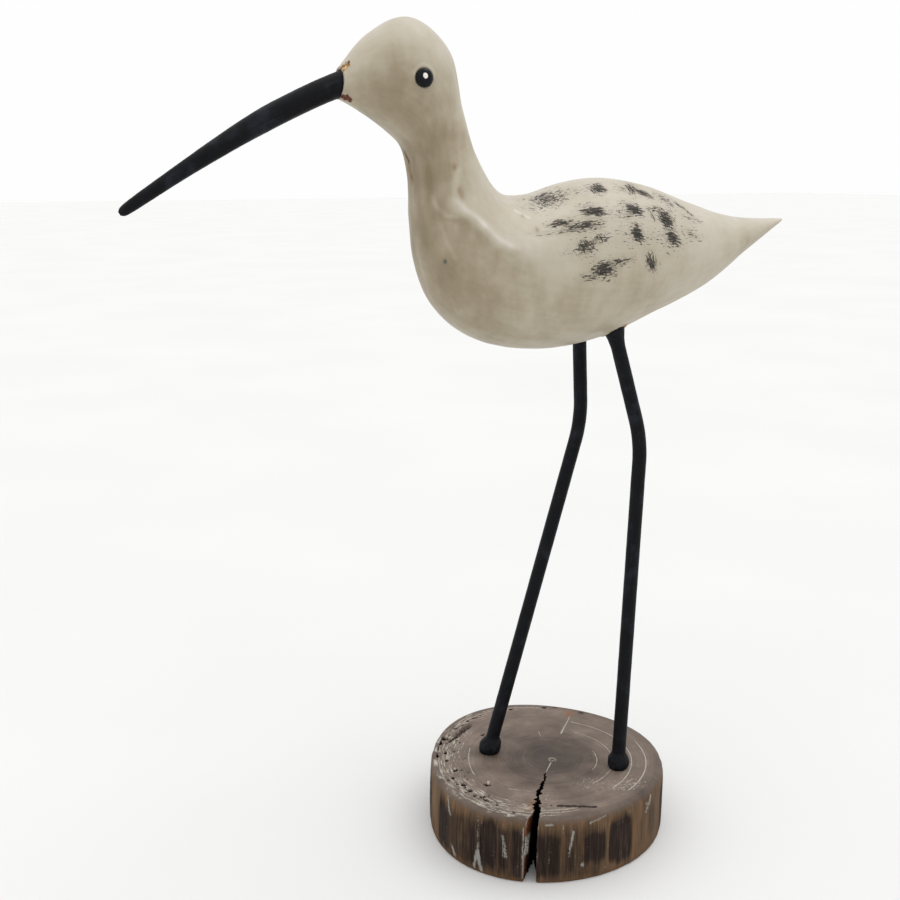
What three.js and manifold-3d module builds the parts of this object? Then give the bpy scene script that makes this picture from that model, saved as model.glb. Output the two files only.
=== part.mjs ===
// A painted wooden shorebird with a long bill, standing on two bent rods in a slice of log.
// Millimetres, +Z up. The bird faces -X and its left side faces -Y.
// The origin is the middle of the log's underside.
import * as THREE from 'three';
import { mergeVertices } from 'three/addons/utils/BufferGeometryUtils.js';
import Module from 'manifold-3d';

const wasm = await Module();
wasm.setup();

// Driving sizes
const clearance = 0.3; // gap between a piece and the hole it is let into
const rodRadius = 4;
const logRadius = 70.2;
const logHeight = 39;
const billSocketDepth = 10;
const hipSocketDepth = 14;
const footSocketDepth = 16;
const eyeRadius = 4.3;
const eyeSeat = 1.8; // how deep the bead is let into the head
const eyeDome = 2.6; // how far the bead stands out

// Places that the pieces share
const billRoot = new THREE.Vector3(-122.5, 0, 418.6);
const eyeCentre = { x: -89, z: 421.3, halfWidth: 23.2 };
const legs = {
  left: {
    hip: new THREE.Vector3(28.6, -17, 295),
    knee: new THREE.Vector3(46.9, -20.5, 232.5),
    foot: new THREE.Vector3(31.9, -31, logHeight),
  },
  right: {
    hip: new THREE.Vector3(28.8, 17, 296),
    knee: new THREE.Vector3(32.7, 18, 238.5),
    foot: new THREE.Vector3(-26, 20.5, logHeight),
  },
};

// Mesh helpers
const mergeDistance = 1e-4;

// Closes a stack of equal rings into one body, with a fan over each end.
function closedLoft(rings) {
  const sides = rings[0].length;
  const positions = [];
  const indices = [];
  for (const ring of rings) for (const p of ring) positions.push(p.x, p.y, p.z);
  for (let i = 0; i < rings.length - 1; i++) {
    for (let j = 0; j < sides; j++) {
      const a = i * sides + j;
      const b = i * sides + ((j + 1) % sides);
      indices.push(a, b, a + sides, b, b + sides, a + sides);
    }
  }
  const addFan = (ring, start, outward) => {
    const middle = new THREE.Vector3();
    for (const p of ring) middle.add(p);
    middle.divideScalar(sides);
    const hub = positions.length / 3;
    positions.push(middle.x, middle.y, middle.z);
    for (let j = 0; j < sides; j++) {
      const a = start + j;
      const b = start + ((j + 1) % sides);
      if (outward) indices.push(a, b, hub);
      else indices.push(b, a, hub);
    }
  };
  addFan(rings[0], 0, false);
  addFan(rings[rings.length - 1], (rings.length - 1) * sides, true);
  const geometry = new THREE.BufferGeometry();
  geometry.setAttribute('position', new THREE.Float32BufferAttribute(positions, 3));
  geometry.setIndex(indices);
  return geometry;
}

function solidOf(geometry) {
  const bare = geometry.clone();
  bare.deleteAttribute('normal');
  bare.deleteAttribute('uv');
  const merged = mergeVertices(bare, mergeDistance);
  return new wasm.Manifold(new wasm.Mesh({
    numProp: 3,
    vertProperties: new Float32Array(merged.attributes.position.array),
    triVerts: new Uint32Array(merged.index.array),
  }));
}

function geometryOf(solid) {
  const mesh = solid.getMesh();
  const geometry = new THREE.BufferGeometry();
  geometry.setAttribute('position', new THREE.BufferAttribute(mesh.vertProperties, 3));
  geometry.setIndex(new THREE.BufferAttribute(mesh.triVerts, 1));
  geometry.computeVertexNormals();
  return geometry;
}

// A ring of points round a centre, square to the given axis.
function ringAround(centre, axis, radius, sides) {
  const side = new THREE.Vector3(0, 1, 0);
  const across = new THREE.Vector3().crossVectors(side, axis).normalize();
  const along = new THREE.Vector3().crossVectors(axis, across).normalize();
  return Array.from({ length: sides }, (_, j) => {
    const angle = (2 * Math.PI * j) / sides;
    return centre.clone()
      .addScaledVector(across, radius * Math.cos(angle))
      .addScaledVector(along, radius * Math.sin(angle));
  });
}

// Carved body

// Each station joins a point on the back to the point on the breast or belly below it.
const stations = [
  { back: [-122, 427], belly: [-123, 412], halfWidth: 7.4 }, // face of the snout
  { back: [-106.5, 442.8], belly: [-112, 406.8], halfWidth: 17 },
  { back: [-87.5, 450.7], belly: [-96.3, 397.3], halfWidth: 23 }, // crown
  { back: [-67.8, 438.2], belly: [-88.5, 389.5], halfWidth: 22 },
  { back: [-59.5, 411.5], belly: [-85, 374], halfWidth: 19 }, // nape and throat
  { back: [-51.5, 388], belly: [-84, 354], halfWidth: 22 },
  { back: [-37.5, 369.3], belly: [-80.5, 332], halfWidth: 28 }, // root of the neck
  { back: [-16, 368], belly: [-71.5, 311.5], halfWidth: 35 },
  { back: [7, 374], belly: [-53, 295.5], halfWidth: 39 },
  { back: [29, 376], belly: [-21, 286.5], halfWidth: 41 }, // deepest and widest
  { back: [55, 372], belly: [19, 288.5], halfWidth: 39 },
  { back: [84, 363], belly: [55.5, 300], halfWidth: 33 },
  { back: [109.5, 356], belly: [91, 312.5], halfWidth: 24 },
  { back: [132.5, 353], belly: [124, 330.5], halfWidth: 13 },
  { back: [160.5, 352], belly: [160, 350], halfWidth: 2 }, // tip of the tail
];
const bodyRings = 60;
const bodySides = 36;
const stationSpacing = 30; // spreads the half widths along their own curve

// Soft ridges (height above 0) and hollows (below 0) carved on both flanks, as X and Z places.
const flankCarving = [
  { height: 1.7, spread: 5.5, line: [[-72, 379], [-71, 364], [-58, 352], [-41, 342]] },
  { height: -1.2, spread: 6, line: [[-70, 350], [-58, 338], [-44, 328]] },
  { height: -1.1, spread: 5, line: [[-82, 392], [-80, 372], [-77, 354]] },
];

function distanceToLine(x, z, line) {
  let nearest = Infinity;
  const point = new THREE.Vector3(x, 0, z);
  const closest = new THREE.Vector3();
  for (let i = 0; i < line.length - 1; i++) {
    const from = new THREE.Vector3(line[i][0], 0, line[i][1]);
    const to = new THREE.Vector3(line[i + 1][0], 0, line[i + 1][1]);
    new THREE.Line3(from, to).closestPointToPoint(point, true, closest);
    nearest = Math.min(nearest, closest.distanceTo(point));
  }
  return nearest;
}

function carvingAt(x, z) {
  return flankCarving.reduce((sum, { height, spread, line }) => {
    const distance = distanceToLine(x, z, line);
    return sum + height * Math.exp(-(distance * distance) / (2 * spread * spread));
  }, 0);
}

function bodyGeometry() {
  const curveOf = (point) => new THREE.CatmullRomCurve3(stations.map(point));
  const backLine = curveOf((s) => new THREE.Vector3(s.back[0], 0, s.back[1]));
  const bellyLine = curveOf((s) => new THREE.Vector3(s.belly[0], 0, s.belly[1]));
  const widthLine = curveOf((s, i) => new THREE.Vector3(i * stationSpacing, s.halfWidth, 0));
  const rings = [];
  for (let i = 0; i < bodyRings; i++) {
    const t = i / (bodyRings - 1);
    const back = backLine.getPoint(t);
    const belly = bellyLine.getPoint(t);
    const halfWidth = widthLine.getPoint(t).y;
    const middle = back.clone().add(belly).multiplyScalar(0.5);
    const halfDepth = back.clone().sub(middle);
    rings.push(Array.from({ length: bodySides }, (_, j) => {
      const angle = (2 * Math.PI * j) / bodySides;
      const sideways = Math.cos(angle);
      const point = middle.clone().addScaledVector(halfDepth, Math.sin(angle));
      point.y = sideways * (halfWidth + carvingAt(point.x, point.z));
      return point;
    }));
  }
  return closedLoft(rings);
}

// Bill

// Middle line from the head to the tip, with the radius at each place.
const billLine = [
  { x: -131.8, z: 415, radius: 5.8 },
  { x: -143.5, z: 409.8, radius: 5.7 },
  { x: -158.4, z: 402.6, radius: 5.5 },
  { x: -171.5, z: 395.5, radius: 4.95 },
  { x: -183.8, z: 388.3, radius: 4.35 },
  { x: -195.8, z: 381.1, radius: 3.8 },
  { x: -206.9, z: 374.2, radius: 3.35 },
  { x: -217.5, z: 367.5, radius: 2.95 },
  { x: -223.5, z: 363.6, radius: 2.6 },
  { x: -226.3, z: 361.8, radius: 2 },
  { x: -227.4, z: 361.1, radius: 1 },
];
const billRootRadius = 5.9;
const billSides = 20;
const billInward = new THREE.Vector3(1, 0, 0.36).normalize(); // way that the bill runs into the head

function billGeometry(extra) {
  const centres = billLine.map((p) => new THREE.Vector3(p.x, 0, p.z));
  const inner = billRoot.clone().addScaledVector(billInward, billSocketDepth + extra);
  const points = [inner, billRoot, ...centres];
  const radii = [billRootRadius, billRootRadius, ...billLine.map((p) => p.radius)];
  const rings = points.map((point, i) => {
    const before = points[Math.max(i - 1, 0)];
    const after = points[Math.min(i + 1, points.length - 1)];
    const axis = before.clone().sub(after).normalize();
    return ringAround(point, axis, radii[i] + extra, billSides);
  });
  return closedLoft(rings.reverse());
}

// Eyes
const eyeSides = 22;
const eyeDomeSteps = 5;
const eyeDrillLength = 8; // the drill that cuts the seat starts this far outside the head

function eyeGeometry() {
  const profile = [new THREE.Vector2(0, -eyeSeat), new THREE.Vector2(eyeRadius, -eyeSeat)];
  for (let i = 0; i < eyeDomeSteps; i++) {
    const angle = (Math.PI / 2) * (i / eyeDomeSteps);
    profile.push(new THREE.Vector2(eyeRadius * Math.cos(angle), eyeDome * Math.sin(angle)));
  }
  profile.push(new THREE.Vector2(0, eyeDome));
  return new THREE.LatheGeometry(profile, eyeSides);
}

function placeEye(mesh, side) {
  mesh.position.set(eyeCentre.x, side * eyeCentre.halfWidth, eyeCentre.z);
  mesh.rotation.x = side > 0 ? 0 : Math.PI;
}

function eyePocket(side) {
  const radius = eyeRadius + clearance;
  const depth = eyeSeat + clearance;
  const drill = new THREE.CylinderGeometry(radius, radius, eyeDrillLength + depth, eyeSides);
  drill.translate(eyeCentre.x, side * (eyeCentre.halfWidth + (eyeDrillLength - depth) / 2), eyeCentre.z);
  return drill;
}

// Legs

const rodSides = 16;
const kneeReach = 13; // half length of the rounded knee, measured along the rod
const kneeSteps = 5;

// Radius up the rod from the log's top face, with the round lump at the foot.
const footProfile = [
  [14, rodRadius], [9, rodRadius], [8.2, 4.6], [7, 5.5], [5.4, 6.2],
  [3.5, 6.5], [1.6, 6.2], [0.3, 5.6], [0.1, rodRadius],
];
// Radius along the rod above (+) and below (-) the belly, with the flare of the filled joint.
const hipProfile = [[4, rodRadius], [3.5, 5.9], [0.5, 5.8], [-2, 5.2], [-5, 4.5], [-9, rodRadius]];

// With extra = 0 this is the leg, and with extra = clearance it is the tool that cuts its holes.
function legGeometry({ hip, knee, foot }, extra) {
  const up = hip.clone().sub(knee).normalize();
  const down = foot.clone().sub(knee).normalize();
  const vertical = new THREE.Vector3(0, 0, 1);
  const rings = [];
  const addRing = (point, axis, radius) => rings.push(ringAround(point, axis, radius + extra, rodSides));

  addRing(hip.clone().addScaledVector(up, hipSocketDepth + extra), up, rodRadius);
  for (const [above, radius] of hipProfile) {
    const reach = above > 0 ? above + extra : above;
    addRing(hip.clone().addScaledVector(up, reach), up, radius);
  }

  const bend = new THREE.QuadraticBezierCurve3(
    knee.clone().addScaledVector(up, kneeReach), knee, knee.clone().addScaledVector(down, kneeReach));
  for (let i = 0; i <= kneeSteps; i++) {
    const t = i / kneeSteps;
    addRing(bend.getPoint(t), bend.getTangent(t).negate(), rodRadius);
  }

  const shinAt = (height) => foot.clone().addScaledVector(down, height / down.z);
  for (const [height, radius] of footProfile) addRing(shinAt(height), vertical, radius);
  addRing(shinAt(-footSocketDepth - extra), vertical, rodRadius);
  return closedLoft(rings.reverse());
}

// Slice of log

// Slow waves round the outline, as waves in a turn, height and phase in degrees.
const outlineWaves = [[1, 0.25, 100], [2, 0.2, -45], [3, 1.8, -83], [4, 0.5, 28]];
// Side of the slice, as height and how far it is drawn in.
const sideProfile = [
  [0, 1.6], [1.2, 0.5], [6, 0], [22, 0.1], [33, 0.4], [36.5, 0.9], [38.2, 2.1], [logHeight, 4.4],
];
const logSides = 72;

function logOutline(angle) {
  return outlineWaves.reduce((radius, [waves, height, phase]) => {
    const turn = waves * angle - THREE.MathUtils.degToRad(phase);
    return radius + height * Math.cos(turn);
  }, logRadius);
}

function sliceGeometry() {
  return closedLoft(sideProfile.map(([z, inset]) => Array.from({ length: logSides }, (_, j) => {
    const angle = (2 * Math.PI * j) / logSides;
    const radius = logOutline(angle) - inset;
    return new THREE.Vector3(radius * Math.cos(angle), radius * Math.sin(angle), z);
  })));
}

// Drying crack from near the pith out through the front rim. Each place gives X, Y and half width
// of the gap in the top face, then the same in the underside: the crack leans out on its way down.
const crack = [
  { top: [-9.2, -16.9, 0.35], under: [-9.2, -16.9, 0.3] },
  { top: [-14.1, -23.7, 0.7], under: [-13.5, -22.5, 0.4] },
  { top: [-17.2, -26.3, 1], under: [-17, -25.8, 0.4] },
  { top: [-21.5, -29.9, 1.2], under: [-21, -29, 0.5] },
  { top: [-25, -34.2, 1.3], under: [-25, -32.8, 0.5] },
  { top: [-27.8, -37.5, 0.8], under: [-28.4, -36.3, 0.5] },
  { top: [-29.6, -40, 1.5], under: [-31.4, -39.8, 0.7] },
  { top: [-32.8, -44.6, 1.7], under: [-34.6, -44, 1.6] },
  { top: [-35.3, -49, 1.6], under: [-38, -48.5, 2.6] },
  { top: [-38.6, -52.2, 2], under: [-41.3, -52.4, 3.3] },
  { top: [-42.8, -55.4, 3.3], under: [-44.6, -56.4, 3.6] },
  { top: [-49, -61.4, 4.2], under: [-49.6, -61.8, 4.2] },
];
const crackMargin = 2; // the cut runs this far past both faces

function crackGeometry() {
  const outline = (face) => {
    const left = [];
    const right = [];
    crack.forEach((place, i) => {
      const [x, y, half] = place[face];
      const [beforeX, beforeY] = crack[Math.max(i - 1, 0)][face];
      const [afterX, afterY] = crack[Math.min(i + 1, crack.length - 1)][face];
      const along = new THREE.Vector2(afterX - beforeX, afterY - beforeY).normalize();
      left.push([x + along.y * half, y - along.x * half]);
      right.push([x - along.y * half, y + along.x * half]);
    });
    return [...left, ...right.reverse()];
  };
  const ring = (face, z) => outline(face).map(([x, y]) => new THREE.Vector3(x, y, z));
  return closedLoft([ring('under', -crackMargin), ring('top', logHeight + crackMargin)]);
}

// Worm holes that show from a step away, as X, Y, half length, half width, depth and turn in degrees.
const wormHoles = [
  [-28, 50.5, 15, 2.6, 4, 29],
  [-43, 48, 4, 2.4, 4, 120],
  [-57.5, -5.4, 2.2, 1.6, 3, 80],
  [-57.5, -12.5, 1.8, 1.3, 3, 100],
  [-54, -26, 2.2, 1.3, 3, 120],
  [-46, -12.3, 2.4, 1.2, 2.5, 130],
];

function wormHoleGeometry([x, y, halfLength, halfWidth, depth, turn]) {
  const hole = new THREE.SphereGeometry(1, 12, 6);
  hole.scale(halfLength, halfWidth, depth);
  hole.rotateZ(THREE.MathUtils.degToRad(turn));
  hole.translate(x, y, logHeight);
  return hole;
}

// Materials as the piece shows them
const finish = {
  body: new THREE.MeshStandardMaterial({ color: 0xbdb6a2, roughness: 0.42, metalness: 0 }),
  bill: new THREE.MeshStandardMaterial({ color: 0x1b1d24, roughness: 0.4, metalness: 0 }),
  rod: new THREE.MeshStandardMaterial({ color: 0x191b20, roughness: 0.5, metalness: 0 }),
  eye: new THREE.MeshStandardMaterial({ color: 0x101117, roughness: 0.2, metalness: 0 }),
  log: new THREE.MeshStandardMaterial({ color: 0x85776b, roughness: 0.8, metalness: 0 }),
};

// Assembly
const bird = new THREE.Group();

function addPiece(name, geometry, material) {
  const mesh = new THREE.Mesh(geometry, material);
  mesh.name = name;
  bird.add(mesh);
  return mesh;
}

const cutAway = (solid, cutters) => cutters.reduce((left, cutter) => left.subtract(solidOf(cutter)), solid);
const legHoles = [legGeometry(legs.left, clearance), legGeometry(legs.right, clearance)];

addPiece('carved_body', geometryOf(cutAway(solidOf(bodyGeometry()), [
  ...legHoles, billGeometry(clearance), eyePocket(-1), eyePocket(1),
])), finish.body);
addPiece('bill', billGeometry(0), finish.bill);
placeEye(addPiece('left_eye', eyeGeometry(), finish.eye), -1);
placeEye(addPiece('right_eye', eyeGeometry(), finish.eye), 1);
addPiece('left_leg', legGeometry(legs.left, 0), finish.rod);
addPiece('right_leg', legGeometry(legs.right, 0), finish.rod);
addPiece('log_base', geometryOf(cutAway(solidOf(sliceGeometry()), [
  ...legHoles, crackGeometry(), ...wormHoles.map(wormHoleGeometry),
])), finish.log);

export default bird;
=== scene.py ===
import math
import bpy
import numpy as np
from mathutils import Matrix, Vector, noise


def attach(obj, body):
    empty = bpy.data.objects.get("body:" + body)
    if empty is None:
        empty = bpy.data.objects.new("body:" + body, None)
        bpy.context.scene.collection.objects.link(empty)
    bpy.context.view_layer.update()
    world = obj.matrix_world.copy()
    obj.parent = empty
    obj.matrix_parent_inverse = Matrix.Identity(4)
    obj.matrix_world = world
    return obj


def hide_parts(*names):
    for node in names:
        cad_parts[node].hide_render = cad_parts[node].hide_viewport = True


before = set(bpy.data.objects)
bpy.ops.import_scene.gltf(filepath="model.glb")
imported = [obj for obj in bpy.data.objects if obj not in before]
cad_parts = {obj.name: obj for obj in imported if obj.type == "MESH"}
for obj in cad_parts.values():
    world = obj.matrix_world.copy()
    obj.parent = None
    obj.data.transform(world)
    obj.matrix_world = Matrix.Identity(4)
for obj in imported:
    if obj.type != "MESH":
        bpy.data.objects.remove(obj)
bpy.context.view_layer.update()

# A painted wooden shorebird on two bent rods in a slice of log.
# Shapes are worked out in millimetres and turned to metres when a mesh is made.
mm = 0.001
print("frame loaded:", sorted(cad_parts))


# Helpers for numbers

def smooth(low, high, value):
    # soft step from 0 at low to 1 at high
    t = np.clip((value - low) / (high - low), 0, 1)
    return t * t * (3 - 2 * t)


def bell(distance, spread):
    # soft hump of height 1
    return np.exp(-(distance ** 2) / (2 * spread ** 2))


def lumps(points, size, octaves=3, shift=0.0):
    # smooth noise from about -1 to 1, with lumps of the given size in millimetres
    scaled = np.asarray(points, float) / size + shift
    return np.array([noise.fractal(Vector(p), 1.0, 2.0, octaves) for p in scaled])


def curveThrough(points, count):
    # centripetal curve through the points, sampled evenly in its own parameter
    points = np.asarray(points, float)
    padded = np.vstack([2 * points[0] - points[1], points, 2 * points[-1] - points[-2]])
    place = np.linspace(0, len(points) - 1, count)
    start = np.minimum(place.astype(int), len(points) - 2)
    w = (place - start)[:, None]
    p0, p1, p2, p3 = (padded[start + k] for k in range(4))
    gap0, gap1, gap2 = (np.sqrt(np.linalg.norm(b - a, axis=1))[:, None]
                        for a, b in ((p0, p1), (p1, p2), (p2, p3)))
    leave = gap1 * ((p1 - p0) / gap0 - (p2 - p0) / (gap0 + gap1) + (p2 - p1) / gap1)
    arrive = gap1 * ((p2 - p1) / gap1 - (p3 - p1) / (gap1 + gap2) + (p3 - p2) / gap2)
    return (p1 * (2 * w ** 3 - 3 * w ** 2 + 1) + leave * (w ** 3 - 2 * w ** 2 + w)
            + p2 * (3 * w ** 2 - 2 * w ** 3) + arrive * (w ** 3 - w ** 2))


def awayFromLine(across, up, line):
    # shortest distance from each place to a line of straight pieces
    nearest = np.full(across.shape, np.inf)
    for (ax, ay), (bx, by) in zip(line[:-1], line[1:]):
        length = (bx - ax) ** 2 + (by - ay) ** 2
        t = np.clip(((across - ax) * (bx - ax) + (up - ay) * (by - ay)) / length, 0, 1)
        nearest = np.minimum(nearest, np.hypot(across - ax - t * (bx - ax), up - ay - t * (by - ay)))
    return nearest


def outwardNormals(grid, loop):
    # unit normals of a grid of points; loop says that its second way closes on itself
    along = np.gradient(grid, axis=0)
    if loop:
        around = np.roll(grid, -1, axis=1) - np.roll(grid, 1, axis=1)
    else:
        around = np.gradient(grid, axis=1)
    normal = np.cross(along, around)
    normal /= np.maximum(np.linalg.norm(normal, axis=2, keepdims=True), 1e-9)
    middle = grid.mean(axis=1, keepdims=True)
    if np.sum(normal * (grid - middle)) < 0:
        normal = -normal
    return normal


# Helpers for meshes

def tubeFaces(rings, sides):
    # quads between rings of equal count, and a fan of triangles over each end
    faces = []
    for i in range(rings - 1):
        for j in range(sides):
            a = i * sides + j
            b = i * sides + (j + 1) % sides
            faces.append((a, b, b + sides, a + sides))
    first, last = rings * sides, rings * sides + 1
    end = (rings - 1) * sides
    for j in range(sides):
        k = (j + 1) % sides
        faces.append((k, j, first))
        faces.append((end + j, end + k, last))
    return faces


def makeMesh(name, points, faces, material, attributes, sharpDegrees=60):
    # points in millimetres; attributes are one number or three for each point
    mesh = bpy.data.meshes.new(name)
    mesh.from_pydata((np.asarray(points) * mm).tolist(), [], faces)
    for key, values in attributes.items():
        values = np.asarray(values, np.float32)
        kind, field = ("FLOAT", "value") if values.ndim == 1 else ("FLOAT_VECTOR", "vector")
        mesh.attributes.new(key, kind, "POINT").data.foreach_set(field, values.ravel())
    mesh.polygons.foreach_set("use_smooth", [True] * len(mesh.polygons))
    mesh.update()
    volume = sum(p.area * p.normal.dot(p.center) for p in mesh.polygons)
    if volume < 0:
        mesh.flip_normals()
    mesh.set_sharp_from_angle(angle=math.radians(sharpDegrees))
    mesh.materials.append(material)
    piece = bpy.data.objects.new(name, mesh)
    bpy.context.scene.collection.objects.link(piece)
    return piece


def placePiece(piece, node):
    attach(piece, "root")
    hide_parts(node)


# Helpers for materials

def toLinear(code, alpha=1.0):
    # sRGB hex to a linear colour
    parts = [int(code[i:i + 2], 16) / 255 for i in (1, 3, 5)]
    return tuple(c / 12.92 if c <= 0.04045 else ((c + 0.055) / 1.055) ** 2.4 for c in parts) + (alpha,)


def addNode(tree, kind, inputs=None, out=0, stops=None, **settings):
    # adds a node, sets it up, links or fills its inputs, and hands back one of its outputs
    node = tree.nodes.new("ShaderNode" + kind)
    for key, value in settings.items():
        setattr(node, key, value)
    for i, (place, colour) in enumerate(stops or ()):
        element = node.color_ramp.elements[i] if i < 2 else node.color_ramp.elements.new(place)
        element.position = place
        element.color = colour if len(colour) == 4 else (*colour, 1)
    for key, value in (inputs or {}).items():
        if isinstance(value, bpy.types.NodeSocket):
            tree.links.new(value, node.inputs[key])
        else:
            node.inputs[key].default_value = value
    return node.outputs[out] if node.outputs else None


def newMaterial(name):
    material = bpy.data.materials.new(name)
    material.use_nodes = True
    material.node_tree.nodes.clear()
    return material, material.node_tree


# Camera, at the photograph's place: 14 degrees down on the bird's left side
camera = {
    "place": (-0.3358, -0.5123, 0.380),
    "turnDegrees": (76, 0, -28),
    "lens": 45,
    "sensor": 36,
}


def setCamera():
    data = bpy.data.cameras.new("camera")
    data.lens = camera["lens"]
    data.sensor_width = camera["sensor"]
    data.clip_start = 0.01
    data.clip_end = 60
    data.dof.use_dof = False
    view = bpy.data.objects.new("camera", data)
    view.location = camera["place"]
    view.rotation_euler = [math.radians(a) for a in camera["turnDegrees"]]
    bpy.context.scene.collection.objects.link(view)
    bpy.context.scene.camera = view


setCamera()
print("camera placed")


# Legs' places, which the body and the rods share
legs = {
    "left_leg": {"hip": (28.6, -17, 295), "knee": (46.9, -20.5, 232.5), "foot": (31.9, -31, 39)},
    "right_leg": {"hip": (28.8, 17, 296), "knee": (32.7, 18, 238.5), "foot": (-26, 20.5, 39)},
}


# Carved body

body = {
    # back x and z, belly x and z, half width, from the snout to the tail
    "stations": [
        (-122, 427, -123, 412, 7.4),
        (-106.5, 442.8, -112, 406.8, 17),
        (-87.5, 450.7, -96.3, 397.3, 23),
        (-67.8, 438.2, -88.5, 389.5, 22),
        (-59.5, 411.5, -85, 374, 19),
        (-51.5, 388, -84, 354, 22),
        (-37.5, 369.3, -80.5, 332, 28),
        (-16, 368, -71.5, 311.5, 35),
        (7, 374, -53, 295.5, 39),
        (29, 376, -21, 286.5, 41),
        (55, 372, 19, 288.5, 39),
        (84, 363, 55.5, 300, 33),
        (109.5, 356, 91, 312.5, 24),
        (132.5, 353, 124, 330.5, 13),
        (160.5, 352, 160, 350, 2),
    ],
    "stationSpacing": 30,  # spreads the half widths along their own curve
    "rings": 421,
    "sides": 200,
    # ridges and hollows on both flanks: height, spread and places in x and z
    "carving": [
        (1.7, 5.5, [(-72, 379), (-71, 364), (-58, 352), (-41, 342)]),
        (-1.2, 6, [(-70, 350), (-58, 338), (-44, 328)]),
        (-1.1, 5, [(-82, 392), (-80, 372), (-77, 354)]),
        (0.95, 1.6, [(-71.6, 363.4), (-69.1, 360.3), (-63.3, 356.2), (-58.2, 350.9), (-53.2, 345.4),
                     (-46, 341.6)]),
        (-0.8, 1.9, [(-70.4, 355), (-66, 353), (-61.5, 349), (-57.5, 344)]),
        (0.5, 1.5, [(-71, 379), (-72.9, 365)]),
        (0.35, 2.6, [(-77, 371), (-76.5, 362)]),
        (-0.4, 1.3, [(-81.8, 366), (-80.2, 360.3), (-76.5, 356), (-71.5, 354.8)]),
        (0.35, 0.8, [(-38.7, 360.4), (-33.3, 357)]),
    ],
    "handWork": [(0.22, 27, 1.3), (0.08, 9, 4.1)],  # depth, lump size and shift of the unevenness
    "billRoot": (-122.5, 0, 418.6),
    "billInward": (1, 0, 0.36),
    "billRadius": 5.9,
    "billGap": 0.25,
    "socketDepth": 7,
    "tailCut": 0.4,
    "eye": (-89, 23.2, 421.3),
    "eyeRadius": 4.3,
    "skinInset": 0.3,  # how far the carved skin lies inside the plain form
    "eyeLip": (0.3, 5.2, 0.55),  # height, distance from the eye's middle and spread
    "eyeSeat": (0.9, 3.9, 4.7),  # depth, and between which distances it rises
    "collar": (0.75, 6.4, 0.8),  # raised ring round each leg: height, distance and spread
    "legSeat": (2.2, 4.6, 6.0),  # depth, and between which distances it rises
    "legReach": (-14, 16),  # from where below the hip to where above it the collar is carved
    "bareCrescent": (6.7, 0.75, 0.42),  # raw wood behind each leg: distance, spread and darkness
    "faceRings": (0.3, 0.6, 0.85, 1),  # steps from the snout's edge in to the socket
    "lipBulge": 0.2,
}

# Chips at the root of the bill: place, half length, half breadth, depth,
# how dark the wood is in the middle and how much darker at the ends
chips = [
    ((-121.4, -4.6, 426.6), 3.9, 2.7, 0.6, 0.05, 0.75),
    ((-121.6, -4.8, 411.4), 3.9, 2.5, 0.6, 0.75, 0.25),
    ((-121.2, 5.2, 424.5), 2.4, 1.6, 0.5, 0.5, 0.3),
]

# Brown that has bled through in small spots, as place, spread and strength
rustSpots = [
    ((-71.9, -20.9, 381.2), 0.9, 0.75),
    ((-70.4, -22.8, 370.2), 1.0, 0.55),
    ((-69.1, -23.3, 367.6), 0.9, 0.4),
    ((-87.2, 2.6, 388.3), 0.8, 0.9),
    ((-86.6, 1.8, 386.1), 0.8, 1.1),
    ((-86.0, 0.6, 384.0), 0.75, 0.9),
    ((-85.6, 1.4, 380.5), 1.6, 0.6),
    ((-84.9, -0.2, 376.0), 1.2, 0.8),
    ((-31.5, -32, 351.3), 0.8, 0.6),
    ((-36.0, -25.4, 358.0), 0.6, 0.5),
]
# One dark dot of grey-green, as place, spread and strength
dotStain = ((-75.7, -17.6, 336), 0.62, 1.6)
# Old glaze left in hollows and on the sides, with painted shade below the ridges and low on the breast and
# belly, as place, spread and strength
glazeAndShadeSpots = [
    ((-68, -24.5, 353.4), 2.3, 0.5),
    ((-61, -28, 347.8), 2.8, 0.5),
    ((-56.5, -30.5, 341.5), 3.6, 0.35),
    ((-82.5, -13.2, 384), 3.0, 0.9),
    ((-81.8, -12.7, 376), 2.4, 1.1),
    ((-81.2, -12.9, 368), 2.2, 0.9),
    ((-77, -16.5, 380), 5.0, 0.45),
    ((-85, -5, 358), 6.0, 0.45),
    ((-85.5, -2, 374), 4.5, 0.5),
    ((-79.8, -15.2, 359.5), 2.2, 0.8),
    ((-86, -6, 372), 5.0, 0.6),
    ((-86, -4, 388), 6.0, 0.5),
    ((-62, -11, 392), 6.0, 0.35),
    ((-76.5, -17.5, 364), 2.6, 0.6),
    ((-81, -9, 346), 6.5, 0.55),
    ((-70, -22, 341), 8.0, 0.35),
    ((-47, -28, 361), 8.0, 0.28),
    ((-78, -12, 331), 9.0, 0.55),
    ((-66, -25, 322), 13.0, 0.35),
    ((-104, -16, 411), 8.0, 0.35),
    ((-90, -22, 400), 9.0, 0.32),
    ((-76, -20, 390), 8.0, 0.45),
    ((-100, -14, 428), 14.0, 0.22),
    ((-94, -22, 411), 9.0, 0.2),
    ((100, -24, 341), 5.0, 0.25),
    ((118, -17, 342), 4.0, 0.25),
]
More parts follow.
